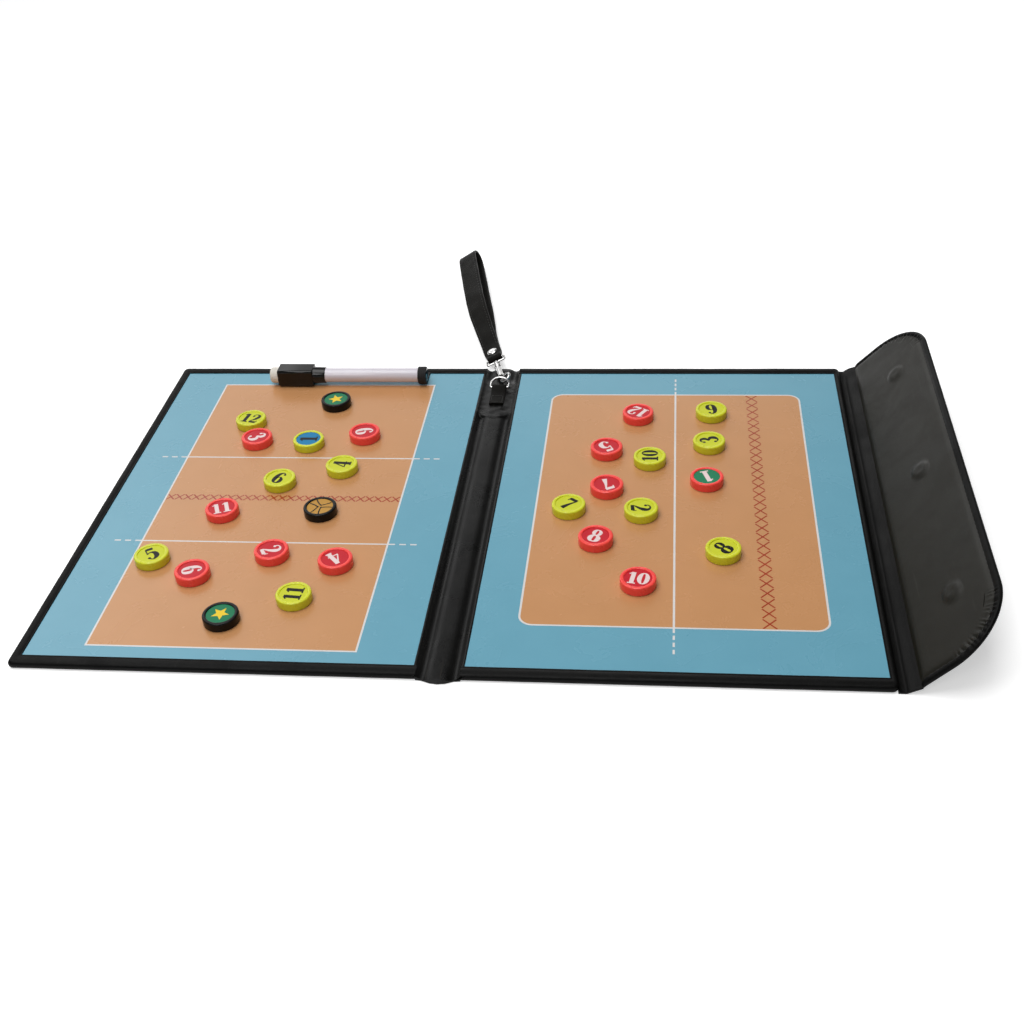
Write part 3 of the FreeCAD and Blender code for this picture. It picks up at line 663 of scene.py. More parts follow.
# Points (x, z) at the panel, and (distance from the crease, height) along the gusset
GUSSET_START = ((228.1, 2.3), (228.5, 1.35), (229.2, 1.0), (230.3, 0.86), (231.3, 0.86), (232.1, 0.98))
GUSSET_TOP = ((1.0, 0.8), (2.2, 1.05), (3.8, 1.18), (5.4, 1.12), (6.6, 0.96), (7.5, 0.84), (8.3, 0.80))
GUSSET_UNDER = ((8.3, -0.38), (6.4, -0.4), (4.2, -0.4), (2.4, -0.4), (1.2, -0.4))
GUSSET_BACK = ((232.3, 0.02), (231.7, 0.0), (231.0, 0.0), (229.8, 0.0), (228.1, 0.0))
GUSSET_SLACK = ((0.16, 14, 2.0), (0.05, 5, 4.0))


def gusset_strip():
    """The soft leather between the right panel and the flap."""
    along = lean(GUSSET_TILT)
    up = rise(GUSSET_TILT)
    section = [Vector((x, 0, z)) for x, z in GUSSET_START]
    section.extend(GUSSET_CREASE + along * t + up * n for t, n in GUSSET_TOP + GUSSET_UNDER)
    section.extend(Vector((x, 0, z)) for x, z in GUSSET_BACK)
    tops = len(GUSSET_START) + len(GUSSET_TOP)
    rows = []
    for y in spread(-HALF_DEPTH, HALF_DEPTH, 110):
        row = [point + Vector((0, y, 0)) for point in section]
        for place in row[2:tops]:
            place += up * waves(place, GUSSET_SLACK)
        rows.append(row)
    return Form(rows, ring=True)


gusset = piece("gusset_leather", gusset_strip(), [leather], crease=50)
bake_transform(gusset)

FLAP_INSET = 9.0
FLAP_UNDER = -0.4
FLAP_THICK = 2.65
FLAP_RIM = (
    # distance in from the edge, height above the flap's mid-line
    (9.0, -0.4), (4.5, -0.42), (1.2, -0.4), (0.45, -0.24), (0.1, 0.15), (0.0, 0.70), (0.1, 1.25),
    (0.5, 1.75), (1.1, 2.02), (1.9, 2.12), (2.8, 2.02), (3.4, 1.72), (3.9, 1.48), (4.4, 1.66),
    (5.2, 2.00), (6.4, 2.18), (7.7, 2.25), (9.0, 2.25),
)
RIM_COLUMNS = 13
RIM_SEAM = 3.9
SEAM_LEVEL = 1.55
SEAM_PITCH = 3.4
SEAM_STITCH = 2.3
SEAM_START = 4.0
SEAM_THREAD = 0.2
CORNER_STEPS = 84
FLAP_COLUMNS = 132
DOME_PLACES = (-110.0, 0.0, 110.0)
DOME_FROM_CREASE = 29.0
DOME_RADIUS = 7.0
DOME_HEIGHT = 1.05
DIMPLE_RADIUS = 3.4
DIMPLE_DEPTH = 0.22
FLAP_SLACK = ((0.16, 24, 6.0), (0.05, 7, 8.0))
PLEAT_HEIGHT = 0.36
CRUMPLE_HEIGHT = 0.55
PUCKER_LIFT = 0.1


def flap_point(t, y, n):
    return FLAP_CREASE + lean(FLAP_TILT) * t + rise(FLAP_TILT) * n + Vector((0, y, 0))


def flap_fullness(t):
    """The share of its thickness that the flap has: it thins towards the crease."""
    return 0.42 + 0.58 * ease(t / 3.2)


def flap_relief(t, y):
    """Height of the lining's soft forms: slack, and a dimpled swelling over each magnet."""
    height = waves((t, y, 0), FLAP_SLACK)
    for centre in DOME_PLACES:
        away = math.hypot(t - DOME_FROM_CREASE, y - centre)
        height += DOME_HEIGHT * ease((DOME_RADIUS - away) / 2.9)
        height -= DIMPLE_DEPTH * ease((DIMPLE_RADIUS - away) / 2.6)
    return height


def flap_stations():
    """(inner, outer, pucker) triples round the flap's edge, for its near side and for all of it."""
    centre = (FLAP_TIP - FLAP_CORNER, HALF_DEPTH - FLAP_CORNER)
    far = [((t, HALF_DEPTH - FLAP_INSET), (t, HALF_DEPTH), 0.0) for t in spread(0, centre[0], 10)]
    outers = arc(centre, FLAP_CORNER, 90, 0, CORNER_STEPS)
    inners = arc(centre, FLAP_CORNER - FLAP_INSET, 90, 0, CORNER_STEPS)
    for i in range(1, CORNER_STEPS + 1):
        far.append((inners[i], outers[i], ease(2.2 * math.sin(math.pi * i / CORNER_STEPS))))
    near = [(mirrored(inner), mirrored(outer), pucker) for inner, outer, pucker in far]
    across = spread(-centre[1], centre[1], FLAP_COLUMNS)[1:-1]
    tip = [((FLAP_TIP - FLAP_INSET, y), (FLAP_TIP, y), 0.0) for y in across]
    return near, near + tip + far[::-1]


def rim_stitches(form, stations):
    """A row of stitches in the channel behind the rim."""
    line = []
    for inner, outer, _ in stations:
        start = Vector((*outer, 0))
        line.append(start + (Vector((*inner, 0)) - start).normalized() * RIM_SEAM)
    travelled = 0.0
    due = SEAM_PITCH
    for here, ahead in zip(line, line[1:]):
        along = ahead - here
        travelled += along.length
        if travelled < due or min(here.x, ahead.x) < SEAM_START:
            continue
        due = travelled + SEAM_PITCH
        stop = here + along.normalized() * SEAM_STITCH
        level = SEAM_LEVEL + flap_relief(here.x, here.y)
        ends = [flap_point(end.x, end.y, level) for end in (here, stop)]
        stitch(form, *ends, rise(FLAP_TILT), SEAM_THREAD, 2)


def closing_flap():
    """Leather outside, lining inside, a rolled rim and a sewn channel that puckers at the corners."""
    near, stations = flap_stations()
    rows = []
    for number, (inner, outer, pucker) in enumerate(stations):
        start = Vector((*outer, 0))
        inward = (Vector((*inner, 0)) - start).normalized()
        row = []
        for distance, n in FLAP_RIM:
            flat = start + inward * distance
            if n > 0:
                channel = math.exp(-((distance - RIM_SEAM) / 2.3) ** 2)
                pleat = math.sin(number * 1.25 + 1.5 * math.sin(number * 0.37))
                crumple = ripple((number * 0.9, distance, 0), 1.8, 11.0)
                n += pucker * channel * (PLEAT_HEIGHT * pleat + CRUMPLE_HEIGHT * crumple + PUCKER_LIFT)
                n += flap_relief(flat.x, flat.y) * ease((distance - 0.6) / 4.5)
                n = FLAP_UNDER + (n - FLAP_UNDER) * flap_fullness(flat.x)
            row.append(flap_point(flat.x, flat.y, n))
        rows.append(row)
    form = Form()
    form.net([row[:RIM_COLUMNS] for row in rows], 1)
    form.net([row[RIM_COLUMNS - 1:] for row in rows])
    top = []
    under = []
    for (t, stop), _, _ in near:
        line = spread(stop, -stop, FLAP_COLUMNS)
        full = flap_fullness(t)
        levels = [FLAP_UNDER + (FLAP_THICK + flap_relief(t, y)) * full for y in line]
        top.append([flap_point(t, y, n) for y, n in zip(line, levels)])
        under.append([flap_point(t, y, FLAP_UNDER) for y in line])
    form.net(top)
    form.net(under, 1)
    rim_stitches(form, stations)
    return form


flap = piece(
    "closing_flap_leather", closing_flap(), [lining, leather, thread],
    stands_for=[
        "gusset_cover", "gusset_lining", "gusset_stiffener",
        "flap_cover", "flap_lining", "flap_stiffener",
    ],
    crease=60,
)
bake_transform(flap)


# Printed courts

FIELD_LIFT = 0.012
LINE_LIFT = 0.022
CROSS_LIFT = 0.030
CROSS_OVER = 0.004
CROSS_WIDTH = 0.85
CROSS_GAP = 0.06


def patch(form, corners, lift):
    """A flat printed shape, its corners anticlockwise from above."""
    form.face(*(Vector((x, y, COURT_Z + lift)) for x, y in corners))


def bar(form, start, stop, width, lift=LINE_LIFT):
    """A straight printed line."""
    a, b = Vector(start), Vector(stop)
    side = left_of((b - a).normalized()) * (width / 2)
    patch(form, [a - side, b - side, b + side, a + side], lift)


def dashes(form, start, stop, count, filled, width):
    start, stop = Vector(start), Vector(stop)
    for i in range(count):
        bar(form, start.lerp(stop, i / count), start.lerp(stop, (i + filled) / count), width)


def crosses(form, start, stop, count, height):
    """A chain of crosses along a line."""
    start, stop = Vector(start), Vector(stop)
    step = (stop - start) / count
    side = left_of(step).normalized() * (height / 2)
    for i in range(count):
        a = start + step * (i + CROSS_GAP)
        b = start + step * (i + 1 - CROSS_GAP)
        bar(form, a - side, b + side, CROSS_WIDTH, CROSS_LIFT)
        bar(form, a + side, b - side, CROSS_WIDTH, CROSS_LIFT + CROSS_OVER)


def field_line(field, inset, bend):
    """A field's closed line, anticlockwise, moved in by inset. bend is its corners' radius."""
    x0, x1, y0, y1 = field[0] + inset, field[1] - inset, field[2] + inset, field[3] - inset
    if not bend:
        return [(x0, y0), (x1, y0), (x1, y1), (x0, y1)]
    bend -= inset
    low, high = y0 + bend, y1 - bend
    turns = ((x1 - bend, low), (x1 - bend, high), (x0 + bend, high), (x0 + bend, low))
    return [spot for i, turn in enumerate(turns) for spot in arc(turn, bend, 90 * i - 90, 90 * i, 12)]


def printed(name, form, ink, body):
    return piece(name, form, [ink], body, closed=False)


def court(word, field, width, bend=0):
    """Prints a court's field, and starts the form of its lines with the border."""
    outer = field_line(field, 0, bend)
    form = Form()
    patch(form, outer, FIELD_LIFT)
    printed(f"{word}_court_field", form, print_tan, f"{word}_panel")
    points = [Vector((x, y, COURT_Z + LINE_LIFT)) for x, y in outer + field_line(field, width, bend)]
    count = len(outer)
    lines = Form()
    lines.add(points, [(i, (i + 1) % count, count + (i + 1) % count, count + i) for i in range(count)])
    return lines


# Fields are (left, right, near, far), dashes are (count, share filled, width)
LEFT_FIELD = (-193.6, -44.9, -141.2, 134.8)
LEFT_LINE = 1.05
LEFT_ATTACK = (-47.7, 42.2)
LEFT_NET = -2.6
LEFT_DASH = 19.0
LEFT_DASHES = (3, 0.6, 1.1)
RIGHT_FIELD = (36.6, 200.0, -116.5, 122.4)
RIGHT_ROUND = 8.0
RIGHT_LINE = 1.1
RIGHT_MIDDLE = 119.0
RIGHT_NET = 168.6
RIGHT_DASH = 22
RIGHT_DASHES = (4, 0.62, 1.15)

x0, x1 = LEFT_FIELD[:2]
w = LEFT_LINE
left_lines = court("left", LEFT_FIELD, w)
for y in LEFT_ATTACK:
    bar(left_lines, (x0 + w, y), (x1 - w, y), w)
    dashes(left_lines, (x0, y), (x0 - LEFT_DASH, y), *LEFT_DASHES)
    dashes(left_lines, (x1, y), (x1 + LEFT_DASH, y), *LEFT_DASHES)
printed("left_court_lines", left_lines, print_white, "left_panel")
left_net = Form()
crosses(left_net, (x0 + w, LEFT_NET), (x1 - w, LEFT_NET), 27, 5.4)
printed("left_court_net", left_net, print_red, "left_panel")

y0, y1 = RIGHT_FIELD[2:]
w = RIGHT_LINE
right_lines = court("right", RIGHT_FIELD, w, RIGHT_ROUND)
bar(right_lines, (RIGHT_MIDDLE, y0 + w), (RIGHT_MIDDLE, y1 - w), 1.2)
dashes(right_lines, (RIGHT_MIDDLE, y0), (RIGHT_MIDDLE, y0 - RIGHT_DASH), *RIGHT_DASHES)
dashes(right_lines, (RIGHT_MIDDLE, y1), (RIGHT_MIDDLE, y1 + RIGHT_DASH), *RIGHT_DASHES)
printed("right_court_lines", right_lines, print_white, "right_panel")
right_net = Form()
crosses(right_net, (RIGHT_NET, y0 + w), (RIGHT_NET, y1 - w), 28, 7.1)
printed("right_court_net", right_net, print_red, "right_panel")


# Counters

FIGURE_WIDE = 0.6
FIGURES = {
    # strokes of (x, y, width), in hundredths of a figure's height
    "1": [
        [(30, 4, 17), (30, 96, 17)],
        [(8, 79, 5), (28, 94, 7)],
        [(8, 3, 6), (52, 3, 6)],
    ],
    "2": [
        [(11, 70, 5), (13, 88, 5), (30, 96.5, 6), (48, 86, 12), (48, 66, 17), (34, 42, 12),
         (14, 20, 6), (8, 8, 5)],
        [(6, 7, 12), (50, 8, 14)],
        [(53, 6, 4), (55, 26, 4)],
    ],
    "3": [
        [(11, 80, 5), (26, 96.5, 6), (43, 88, 13), (44, 68, 15), (25, 53.5, 5)],
        [(25, 53.5, 5), (48, 43, 15), (50, 20, 18), (28, 3, 6), (9, 17, 5)],
    ],
    "4": [
        [(40, 4, 16), (40, 97, 16)],
        [(37, 95, 5), (5, 30, 5)],
        [(3, 29, 5.5), (57, 29, 5.5)],
        [(24, 3, 6), (56, 3, 6)],
    ],
    "5": [
        [(14, 91, 13), (50, 90, 13)],
        [(14, 94, 5), (12, 52, 5)],
        [(12, 53, 5), (30, 63, 6), (49, 50, 16), (50, 22, 18), (28, 3, 6), (9, 17, 5)],
    ],
    "6": [
        [(46, 86, 6), (32, 97, 5), (15, 78, 14), (11, 45, 18), (15, 15, 14), (30, 3, 5),
         (46, 15, 14), (47, 40, 15), (32, 56, 5), (16, 42, 5)],
    ],
    "7": [
        [(6, 90, 14), (52, 91, 14)],
        [(7, 95, 4), (5, 72, 4)],
        [(50, 90, 5), (36, 52, 10), (25, 4, 19)],
    ],
}
BALLS = {
    # ball ends of (x, y, radius), in hundredths too
    "2": [(13, 74, 7.5)],
    "3": [(13, 79, 7.5), (12, 19, 7.5)],
    "5": [(12, 19, 7.5)],
    "6": [(45, 83, 7)],
}


def hundredths(marks):
    return [tuple(value / 100 for value in mark) for mark in marks]


def ellipse(centre, across, up, swell):
    """A closed stroke, thin above and below and fuller at its sides."""
    points = []
    for i in range(33):
        turn = 2 * math.pi * i / 32
        width = 0.05 + swell * abs(math.cos(turn)) ** 1.5
        points.append((centre[0] + across * math.cos(turn), centre[1] + up * math.sin(turn), width))
    return points


def turned_over(marks):
    return [(FIGURE_WIDE - x, 1 - y, size) for x, y, size in marks]


def strokes_of(figure):
    """The strokes and ball ends of one figure. A nine is a six turned over."""
    if figure == "0":
        return [ellipse((0.30, 0.50), 0.21, 0.45, 0.13)], []
    if figure == "8":
        return [ellipse((0.30, 0.735), 0.16, 0.215, 0.09), ellipse((0.30, 0.27), 0.20, 0.24, 0.13)], []
    if figure == "9":
        strokes, balls = strokes_of("6")
        return [turned_over(stroke) for stroke in strokes], turned_over(balls)
    strokes = [hundredths(stroke) for stroke in FIGURES[figure]]
    strokes = [flowing(stroke, 6) if len(stroke) > 2 else stroke for stroke in strokes]
    return strokes, hundredths(BALLS.get(figure, []))


LABEL_TOP = 5.0
INK_WEIGHT = 1.4
INK_LIFT = 0.03
INK_STEP = 0.006
INK_LEVEL = LABEL_TOP + INK_LIFT
ADVANCE = 0.58
ONE_FIGURE_TALL = 11.6
TWO_FIGURES_TALL = 10.2
STAR_RADII = (5.2, 2.3)
BALL_SEAM_WIDTH = 0.55
BALL_SEAM_REACH = 7.5


def on_label(place, x, y, level):
    return place @ Vector((x, y, 0)) + Vector((0, 0, level))


def ribbon(form, stroke, place, level):
    """A flat stroke of changing width."""
    line = [(x, y) for x, y, _ in stroke]
    lefts = []
    rights = []
    for i, (x, y, width) in enumerate(stroke):
        side = left_of(heading(line, i)) * (width / 2 * INK_WEIGHT)
        lefts.append(on_label(place, x + side.x, y + side.y, level))
        rights.append(on_label(place, x - side.x, y - side.y, level))
    count = len(lefts)
    form.add(lefts + rights, [(count + i, count + i + 1, i + 1, i) for i in range(count - 1)])


def number_on(form, digits, turn):
    """A number printed in the middle of a counter's label."""
    tall = ONE_FIGURE_TALL if len(digits) == 1 else TWO_FIGURES_TALL
    width = FIGURE_WIDE + ADVANCE * (len(digits) - 1)
    level = INK_LEVEL
    for i, figure in enumerate(digits):
        start = Matrix.Translation((ADVANCE * i - width / 2, -0.5, 0))
        place = turn_about("Z", turn) @ Matrix.Scale(tall, 4) @ start
        strokes, balls = strokes_of(figure)
        for stroke in strokes:
            ribbon(form, stroke, place, level)
            level += INK_STEP
        for x, y, radius in balls:
            form.face(*(on_label(place, *spot, level) for spot in arc((x, y), radius, 0, 345, 23)))
            level += INK_STEP


def star_on(form, turn):
    """A plain five-pointed star."""
    points = []
    for i in range(10):
        radius = STAR_RADII[i % 2]
        angle = math.radians(turn + 90 + 36 * i)
        points.append(Vector((radius * math.cos(angle), radius * math.sin(angle), INK_LEVEL)))
    hub = Vector((0, 0, INK_LEVEL))
    form.add(points + [hub], [(i, (i + 1) % 10, 10) for i in range(10)])


def seams_on(form, turn):
    """Curved ball seams."""
    level = INK_LEVEL
    for angle in (0, 120, 240):
        for bow in (-1, 1):
            line = []
            for s in spread(0, 1, 12):
                spot = turn_about("Z", angle) @ Vector((7.4 * s, bow * (1.1 + 1.6 * s * s), 0))
                reach = min(1.0, BALL_SEAM_REACH / max(spot.length, 0.01))
                line.append((spot.x * reach, spot.y * reach, BALL_SEAM_WIDTH))
            ribbon(form, line, turn_about("Z", turn), level)
            level += INK_STEP


# Radius, height: the cup from the magnet's edge round the rim to the label's edge, the label, the magnet
COUNTER_PROFILES = (
    (
        (7.0, 0.0), (7.12, 0.12), (7.25, 0.0), (9.45, 0.0), (9.75, 0.1), (9.93, 0.32), (10.0, 0.7),
        (10.0, 4.55), (9.95, 4.95), (9.78, 5.27), (9.48, 5.45), (9.1, 5.5), (8.5, 5.5), (8.1, 5.46),
        (7.9, 5.34), (7.82, 5.15), (7.8, 5.0),
    ),
    ((7.8, 5.0), (7.6, 5.0), (4.0, 5.0), (0.0, 5.0)),
    ((7.0, 0.0), (6.6, 0.02), (0.0, 0.02)),
)
COUNTER_SIDES = 64


def counter(node, motif, turn, cup, face, ink):
    """A counter in its CAD node's place: its cup, label and magnet, and what is printed on the label."""
    low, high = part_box(node)
    middle = (low + high) / 2
    form = Form()
    for number, profile in enumerate(COUNTER_PROFILES):
        turned(form, profile, Matrix.Identity(4), COUNTER_SIDES, number)
    marks = Form()
    if motif == "star":
        star_on(marks, turn)
    elif motif == "seams":
        seams_on(marks, turn)
    else:
        number_on(marks, motif, turn)
    for made in (
        piece(node + "_cup", form, [cup, face, magnet], None, [node]),
        piece(node + "_print", marks, [ink], None, closed=False),
    ):
        made.location = (middle.x, middle.y, low.z)
        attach(made, node + "_body")


def team(colour, turns, cup, first_face, face, ink):
    """Counters numbered from one, each turned by its own angle in degrees."""
    for number, turn in enumerate(turns, 1):
        chosen = first_face if number == 1 else face
        counter(f"{colour}_disc_{number:02d}", str(number), turn, cup, chosen, ink)


YELLOW_TURNS = (90, -85, 100, 85, 36, -20, -40, 50, 10, 90, 85, -12)
RED_TURNS = (-162, -60, -60, -138, -150, -70, -155, -20, 105, -10, 22, 147)
team("yellow", YELLOW_TURNS, yellow_cup, blue_label, yellow_label, black_ink)
team("red", RED_TURNS, red_cup, green_label, red_label, white_ink)
counter("black_disc_01", "star", 20, black_cup, deep_green_label, yellow_ink)
counter("black_disc_02", "seams", 15, black_cup, gold_label, black_ink)
counter("black_disc_03", "star", -25, black_cup, deep_green_label, yellow_ink)


# Pen and its loop

PEN_Y = 136.5
PEN_Z = 10.05
PEN_PLACE = Matrix.Translation((-160.5, PEN_Y, PEN_Z)) @ turn_about("Y", 90)
PEN_SIDES = 64
CAP_RINGS = (
    # radius or half width, bevel where the ring is square, distance along the pen
    (0.0, 0, 7.2), (5.4, 0, 7.2), (5.4, 0, 6.1), (5.5, 0, 6.0), (5.75, 1.0, 6.0), (5.93, 0.9, 6.08),
    (6.0, 0.8, 6.3), (6.0, 0.8, 30.2), (5.93, 0.9, 30.42), (5.75, 1.0, 30.5), (5.72, 0, 30.5),
    (5.69, 0, 30.9), (5.47, 0, 38.6), (5.40, 0, 38.85), (5.28, 0, 39.0), (5.0, 0, 39.0),
    (4.88, 0, 38.8), (4.88, 0, 33.32), (4.35, 0, 33.32), (4.35, 0, 10.2), (0.0, 0, 10.2),
)
# Distance along the pen, radius
FELT_PROFILE = (
    (0.25, 0.0), (0.12, 2.2), (0.05, 3.9), (0.2, 4.55), (0.5, 5.0), (0.95, 5.3), (1.6, 5.4),
    (6.0, 5.38), (7.15, 5.36), (7.15, 0.0),
)
BARREL_PROFILE = (
    (36.0, 1.58), (18.5, 1.58), (18.5, 2.05), (18.65, 2.25), (23.8, 4.02), (24.1, 4.1), (33.2, 4.1),
    (33.4, 4.2), (33.4, 4.65), (33.55, 4.8), (105.6, 4.8), (105.75, 4.74), (105.95, 4.74),
    (106.1, 4.8), (106.4, 4.78), (106.4, 3.9), (36.0, 3.9), (36.0, 1.58),
)
NIB_PROFILE = (
    (13.0, 0.0), (13.0, 0.55), (13.2, 0.85), (14.3, 1.4), (14.8, 1.5), (36.0, 1.5), (36.0, 0.0),
)
PLUG_PROFILE = (
    (100.9, 0.0), (100.9, 3.7), (101.1, 3.82), (106.4, 3.82), (106.4, 4.72), (106.55, 4.8),
    (109.3, 4.8), (109.7, 4.68), (109.9, 4.3), (109.9, 3.2), (109.6, 2.9), (109.6, 0.0),
)


def cap_ring(half, bevel, distance):
    """A round ring or a bevelled square about the pen's axis."""
    row = []
    for c, s in circle(PEN_SIDES):
        reach = half
        if bevel:
            reach = min(half / max(abs(c), abs(s)), (2 * half - bevel) / (abs(c) + abs(s)))
        row.append(PEN_PLACE @ Vector((reach * c, reach * s, distance)))
    return row


cap_form = Form([cap_ring(*ring) for ring in CAP_RINGS], ring=True)
piece("pen_cap_shell", cap_form, [black_plastic], "cap", ["pen_cap"], crease=35)
felt_form = spun(FELT_PROFILE, PEN_PLACE, PEN_SIDES)
felt_form.points = [point + Vector((0.10 * ripple(point, 1.6, 2.0), 0, 0)) for point in felt_form.points]
piece("eraser_pad", felt_form, [felt], "cap", ["eraser_felt"], crease=60)
barrel_form = spun(BARREL_PROFILE, PEN_PLACE, PEN_SIDES)
piece("pen_tube", barrel_form, [white_plastic], "pen", ["pen_barrel"], crease=35)
piece("pen_tip", spun(NIB_PROFILE, PEN_PLACE, 32), [wick], "pen", ["pen_nib"])
plug_form = spun(PLUG_PROFILE, PEN_PLACE, PEN_SIDES)
piece("pen_plug", plug_form, [black_plastic], "pen", ["pen_end_plug"], crease=35)

LOOP_X = -53.65
LOOP_HALF = 2.75
LOOP_RADIUS = 5.34
LOOP_THICK = 0.45
TAIL_THICK = 0.5
LOOP_TAIL = ((134.4, 4.62), (137.5, 4.45), (141.5, 4.02), (145.5, 3.86), (150.6, 3.84))


def pen_loop():
    """An elastic ring round the pen, and its tail tucked under the far hem."""
    form = Form()
    ring = arc((PEN_Y, PEN_Z), LOOP_RADIUS, -90, 270, 64)[:-1]
    band(form, LOOP_X, ring, LOOP_HALF, LOOP_THICK, loop=True)
    band(form, LOOP_X, flowing(LOOP_TAIL, 5), LOOP_HALF, TAIL_THICK)
    return form


piece("elastic_pen_loop", pen_loop(), [elastic], "left_panel", ["pen_loop"])


# Ring and its tab

RING_Y = 129.4
RING_Z = 4.7
RING_WIRE = 0.8
WIRE_SIDES = 16
RING_PLACE = Matrix.Translation((0, RING_Y, RING_Z)) @ turn_about("X", 20)
RING_LINE = (
    arc((5.4, 0.7), 0.7, -90, 0, 6) + arc((0, 2.5), 6.1, 0, 180, 36) + arc((-5.4, 0.7), 0.7, 180, 270, 6)
    + [(x, 0.0) for x in spread(-4.4, 4.4, 6)]
)
ring_form = Form()
wire(ring_form, [RING_PLACE @ Vector((x, y, 0)) for x, y in RING_LINE], RING_WIRE, WIRE_SIDES, loop=True)
piece("spine_ring", ring_form, [metal], "ring", ["d_ring"])

TAB_HALF = 4.9
TAB_THICK = 0.44
TAB_LINE = (
    [(108.5, 3.36), (113.0, 3.36), (118.0, 3.36), (124.0, 3.36)]
    + arc((RING_Y, RING_Z), 1.36, -90, 90, 10)
    + [(127.2, 5.72), (124.6, 5.02), (121.6, 4.36), (118.0, 4.26), (113.0, 4.25), (108.5, 4.25)]
)
TAB_TOP = 4.72
TAB_THREAD = 0.22


def ring_tab():
    """Leather folded round the ring's bar and sewn down on the spine."""
    form = Form()
    band(form, 0, TAB_LINE, TAB_HALF, TAB_THICK)
    starts = [(x, y, 0, 1.7) for x in (-3.7, 3.7) for y in spread(109.8, 117.8, 4)[:-1]]
    starts += [(x, y, 1.5, 0) for y in (109.6, 117.9) for x in spread(-3.6, 3.6, 4)[:-1]]
    for x, y, aside, on in starts:
        ends = Vector((x, y, TAB_TOP)), Vector((x + aside, y + on, TAB_TOP))
        stitch(form, *ends, Vector((0, 0, 1)), TAB_THREAD, 1)
    return form


piece("leather_tab", ring_tab(), [strap_leather, thread], "spine", ["ring_tab"])


# Snap hook, swivel eye and wrist strap

CLASP_END = Vector((-4.9, 158.4, 6.3))
CLASP_YAW = 16


def clasp_frame(roll):
    """The hook's axis is Y, from its mouth to its barrel's end at the origin."""
    return Matrix.Translation(CLASP_END) @ turn_about("Z", CLASP_YAW) @ turn_about("Y", roll)


HOOK = clasp_frame(-40)
STRAP = clasp_frame(-20)
UPRIGHT = turn_about("X", -90)
NECK_OUT = 2.0
NECK_BORE = 1.16
NECK_MOUTH = -18.45
BORE_END = -6.4
SLOT_HALF = 0.8
SLOT_STEPS = 4
SLOT_ENDS = (-16.7, -12.1)
NECK_LEVELS = (-18.2, -17.4, SLOT_ENDS[0], -15.2, -13.6, SLOT_ENDS[1], -10.0, -8.0, BORE_END)
SHOULDER = (
    # distance along the hook's axis, radius
    (-6.1, 2.0), (-5.6, 2.25), (-5.05, 2.56), (-4.7, 2.6), (-3.3, 2.6), (-3.1, 2.48), (-2.9, 2.6),
    (-0.45, 2.6), (-0.15, 2.5), (0.0, 2.25), (0.0, 1.35), (-0.12, 1.23), (-1.4, 1.23), (-1.4, 1.88),
    (-3.6, 1.88), (-3.6, 0.0),
)


def slotted_angles(radius):
    """Angles round the neck at a radius, in degrees: the slot first, then the rest of the turn."""
    half = math.degrees(math.asin(SLOT_HALF / radius))
    slot = [180 - half + 2 * half * share for share in spread(0, 1, SLOT_STEPS)]
    return slot + spread(180 + half, 540 - half, 36)[1:-1]


def neck(form):
    """The hook's tube with a slot for the knob on its -X side."""
    outer = slotted_angles(NECK_OUT)
    inner = slotted_angles(NECK_BORE)

    def ring(radius, angles, level):
        turns = [math.radians(angle) for angle in angles]
        return [HOOK @ Vector((radius * math.cos(t), level, radius * math.sin(t))) for t in turns]

    count = len(outer)
    outs = [ring(NECK_OUT, outer, level) for level in NECK_LEVELS]
    ins = [ring(NECK_BORE, inner, level) for level in NECK_LEVELS]
    for i in range(len(NECK_LEVELS) - 1):
        slotted = SLOT_ENDS[0] <= NECK_LEVELS[i] < SLOT_ENDS[1]
        for j in range(SLOT_STEPS if slotted else 0, count):
            k = (j + 1) % count
            for wall in (outs, ins):
                form.face(wall[i][j], wall[i][k], wall[i + 1][k], wall[i + 1][j])
        if slotted:
            for j in (0, SLOT_STEPS):
                form.face(outs[i][j], outs[i + 1][j], ins[i + 1][j], ins[i][j])
    for end in SLOT_ENDS:
        i = NECK_LEVELS.index(end)
        for j in range(SLOT_STEPS):
            form.face(outs[i][j], outs[i][j + 1], ins[i][j + 1], ins[i][j])
    form.net([outs[0], ring(1.9, outer, NECK_MOUTH), ring(1.26, inner, NECK_MOUTH), ins[0]], ring=True)
    form.net([ins[-1], ring(0.0, inner, BORE_END)], ring=True)
    form.net([outs[-1]] + [ring(radius, outer, level) for level, radius in SHOULDER], ring=True)


hook_form = Form()
neck(hook_form)
hook_line = flowing([(1.55, -15.8), (1.75, -17.6)], 3) + arc((2.7, -23.2), 3.5, 100, -208, 44)
hook_path = [HOOK @ Vector((x, y, 0)) for x, y in hook_line]
taper = [0.35, 0.72] + [0.85] * (len(hook_path) - 5) + [0.84, 0.74, 0.4]
wire(hook_form, hook_path, taper, WIRE_SIDES)
piece("snap_hook", hook_form, [metal], "clasp", ["clasp_hook"], crease=35)

bolt_form = spun((
    (-20.5, 0.0), (-20.5, 0.6), (-20.35, 0.92), (-20.0, 1.08), (-19.6, 1.1), (-14.8, 1.1),
    (-14.6, 0.95), (-14.6, 0.0),
), HOOK @ UPRIGHT, 32)
knob_place = HOOK @ Matrix.Translation((0, -15.9, 0)) @ turn_about("Y", -90)
turned(bolt_form, (
    (0.0, 0.4), (0.65, 0.4), (0.65, 2.1), (0.8, 2.2), (1.08, 2.26), (1.2, 2.42), (1.2, 3.05),
    (1.1, 3.3), (0.85, 3.4), (0.55, 3.36), (0.0, 3.28),
), knob_place, 28)
piece("hook_bolt", bolt_form, [metal], "bolt", ["clasp_bolt"], crease=35)

COIL_RADIUS = 0.92
COIL_WIRE = 0.15
COIL_START = -14.42
COIL_LENGTH = 7.84
COIL_TURNS = 9
TURN_STEPS = 20

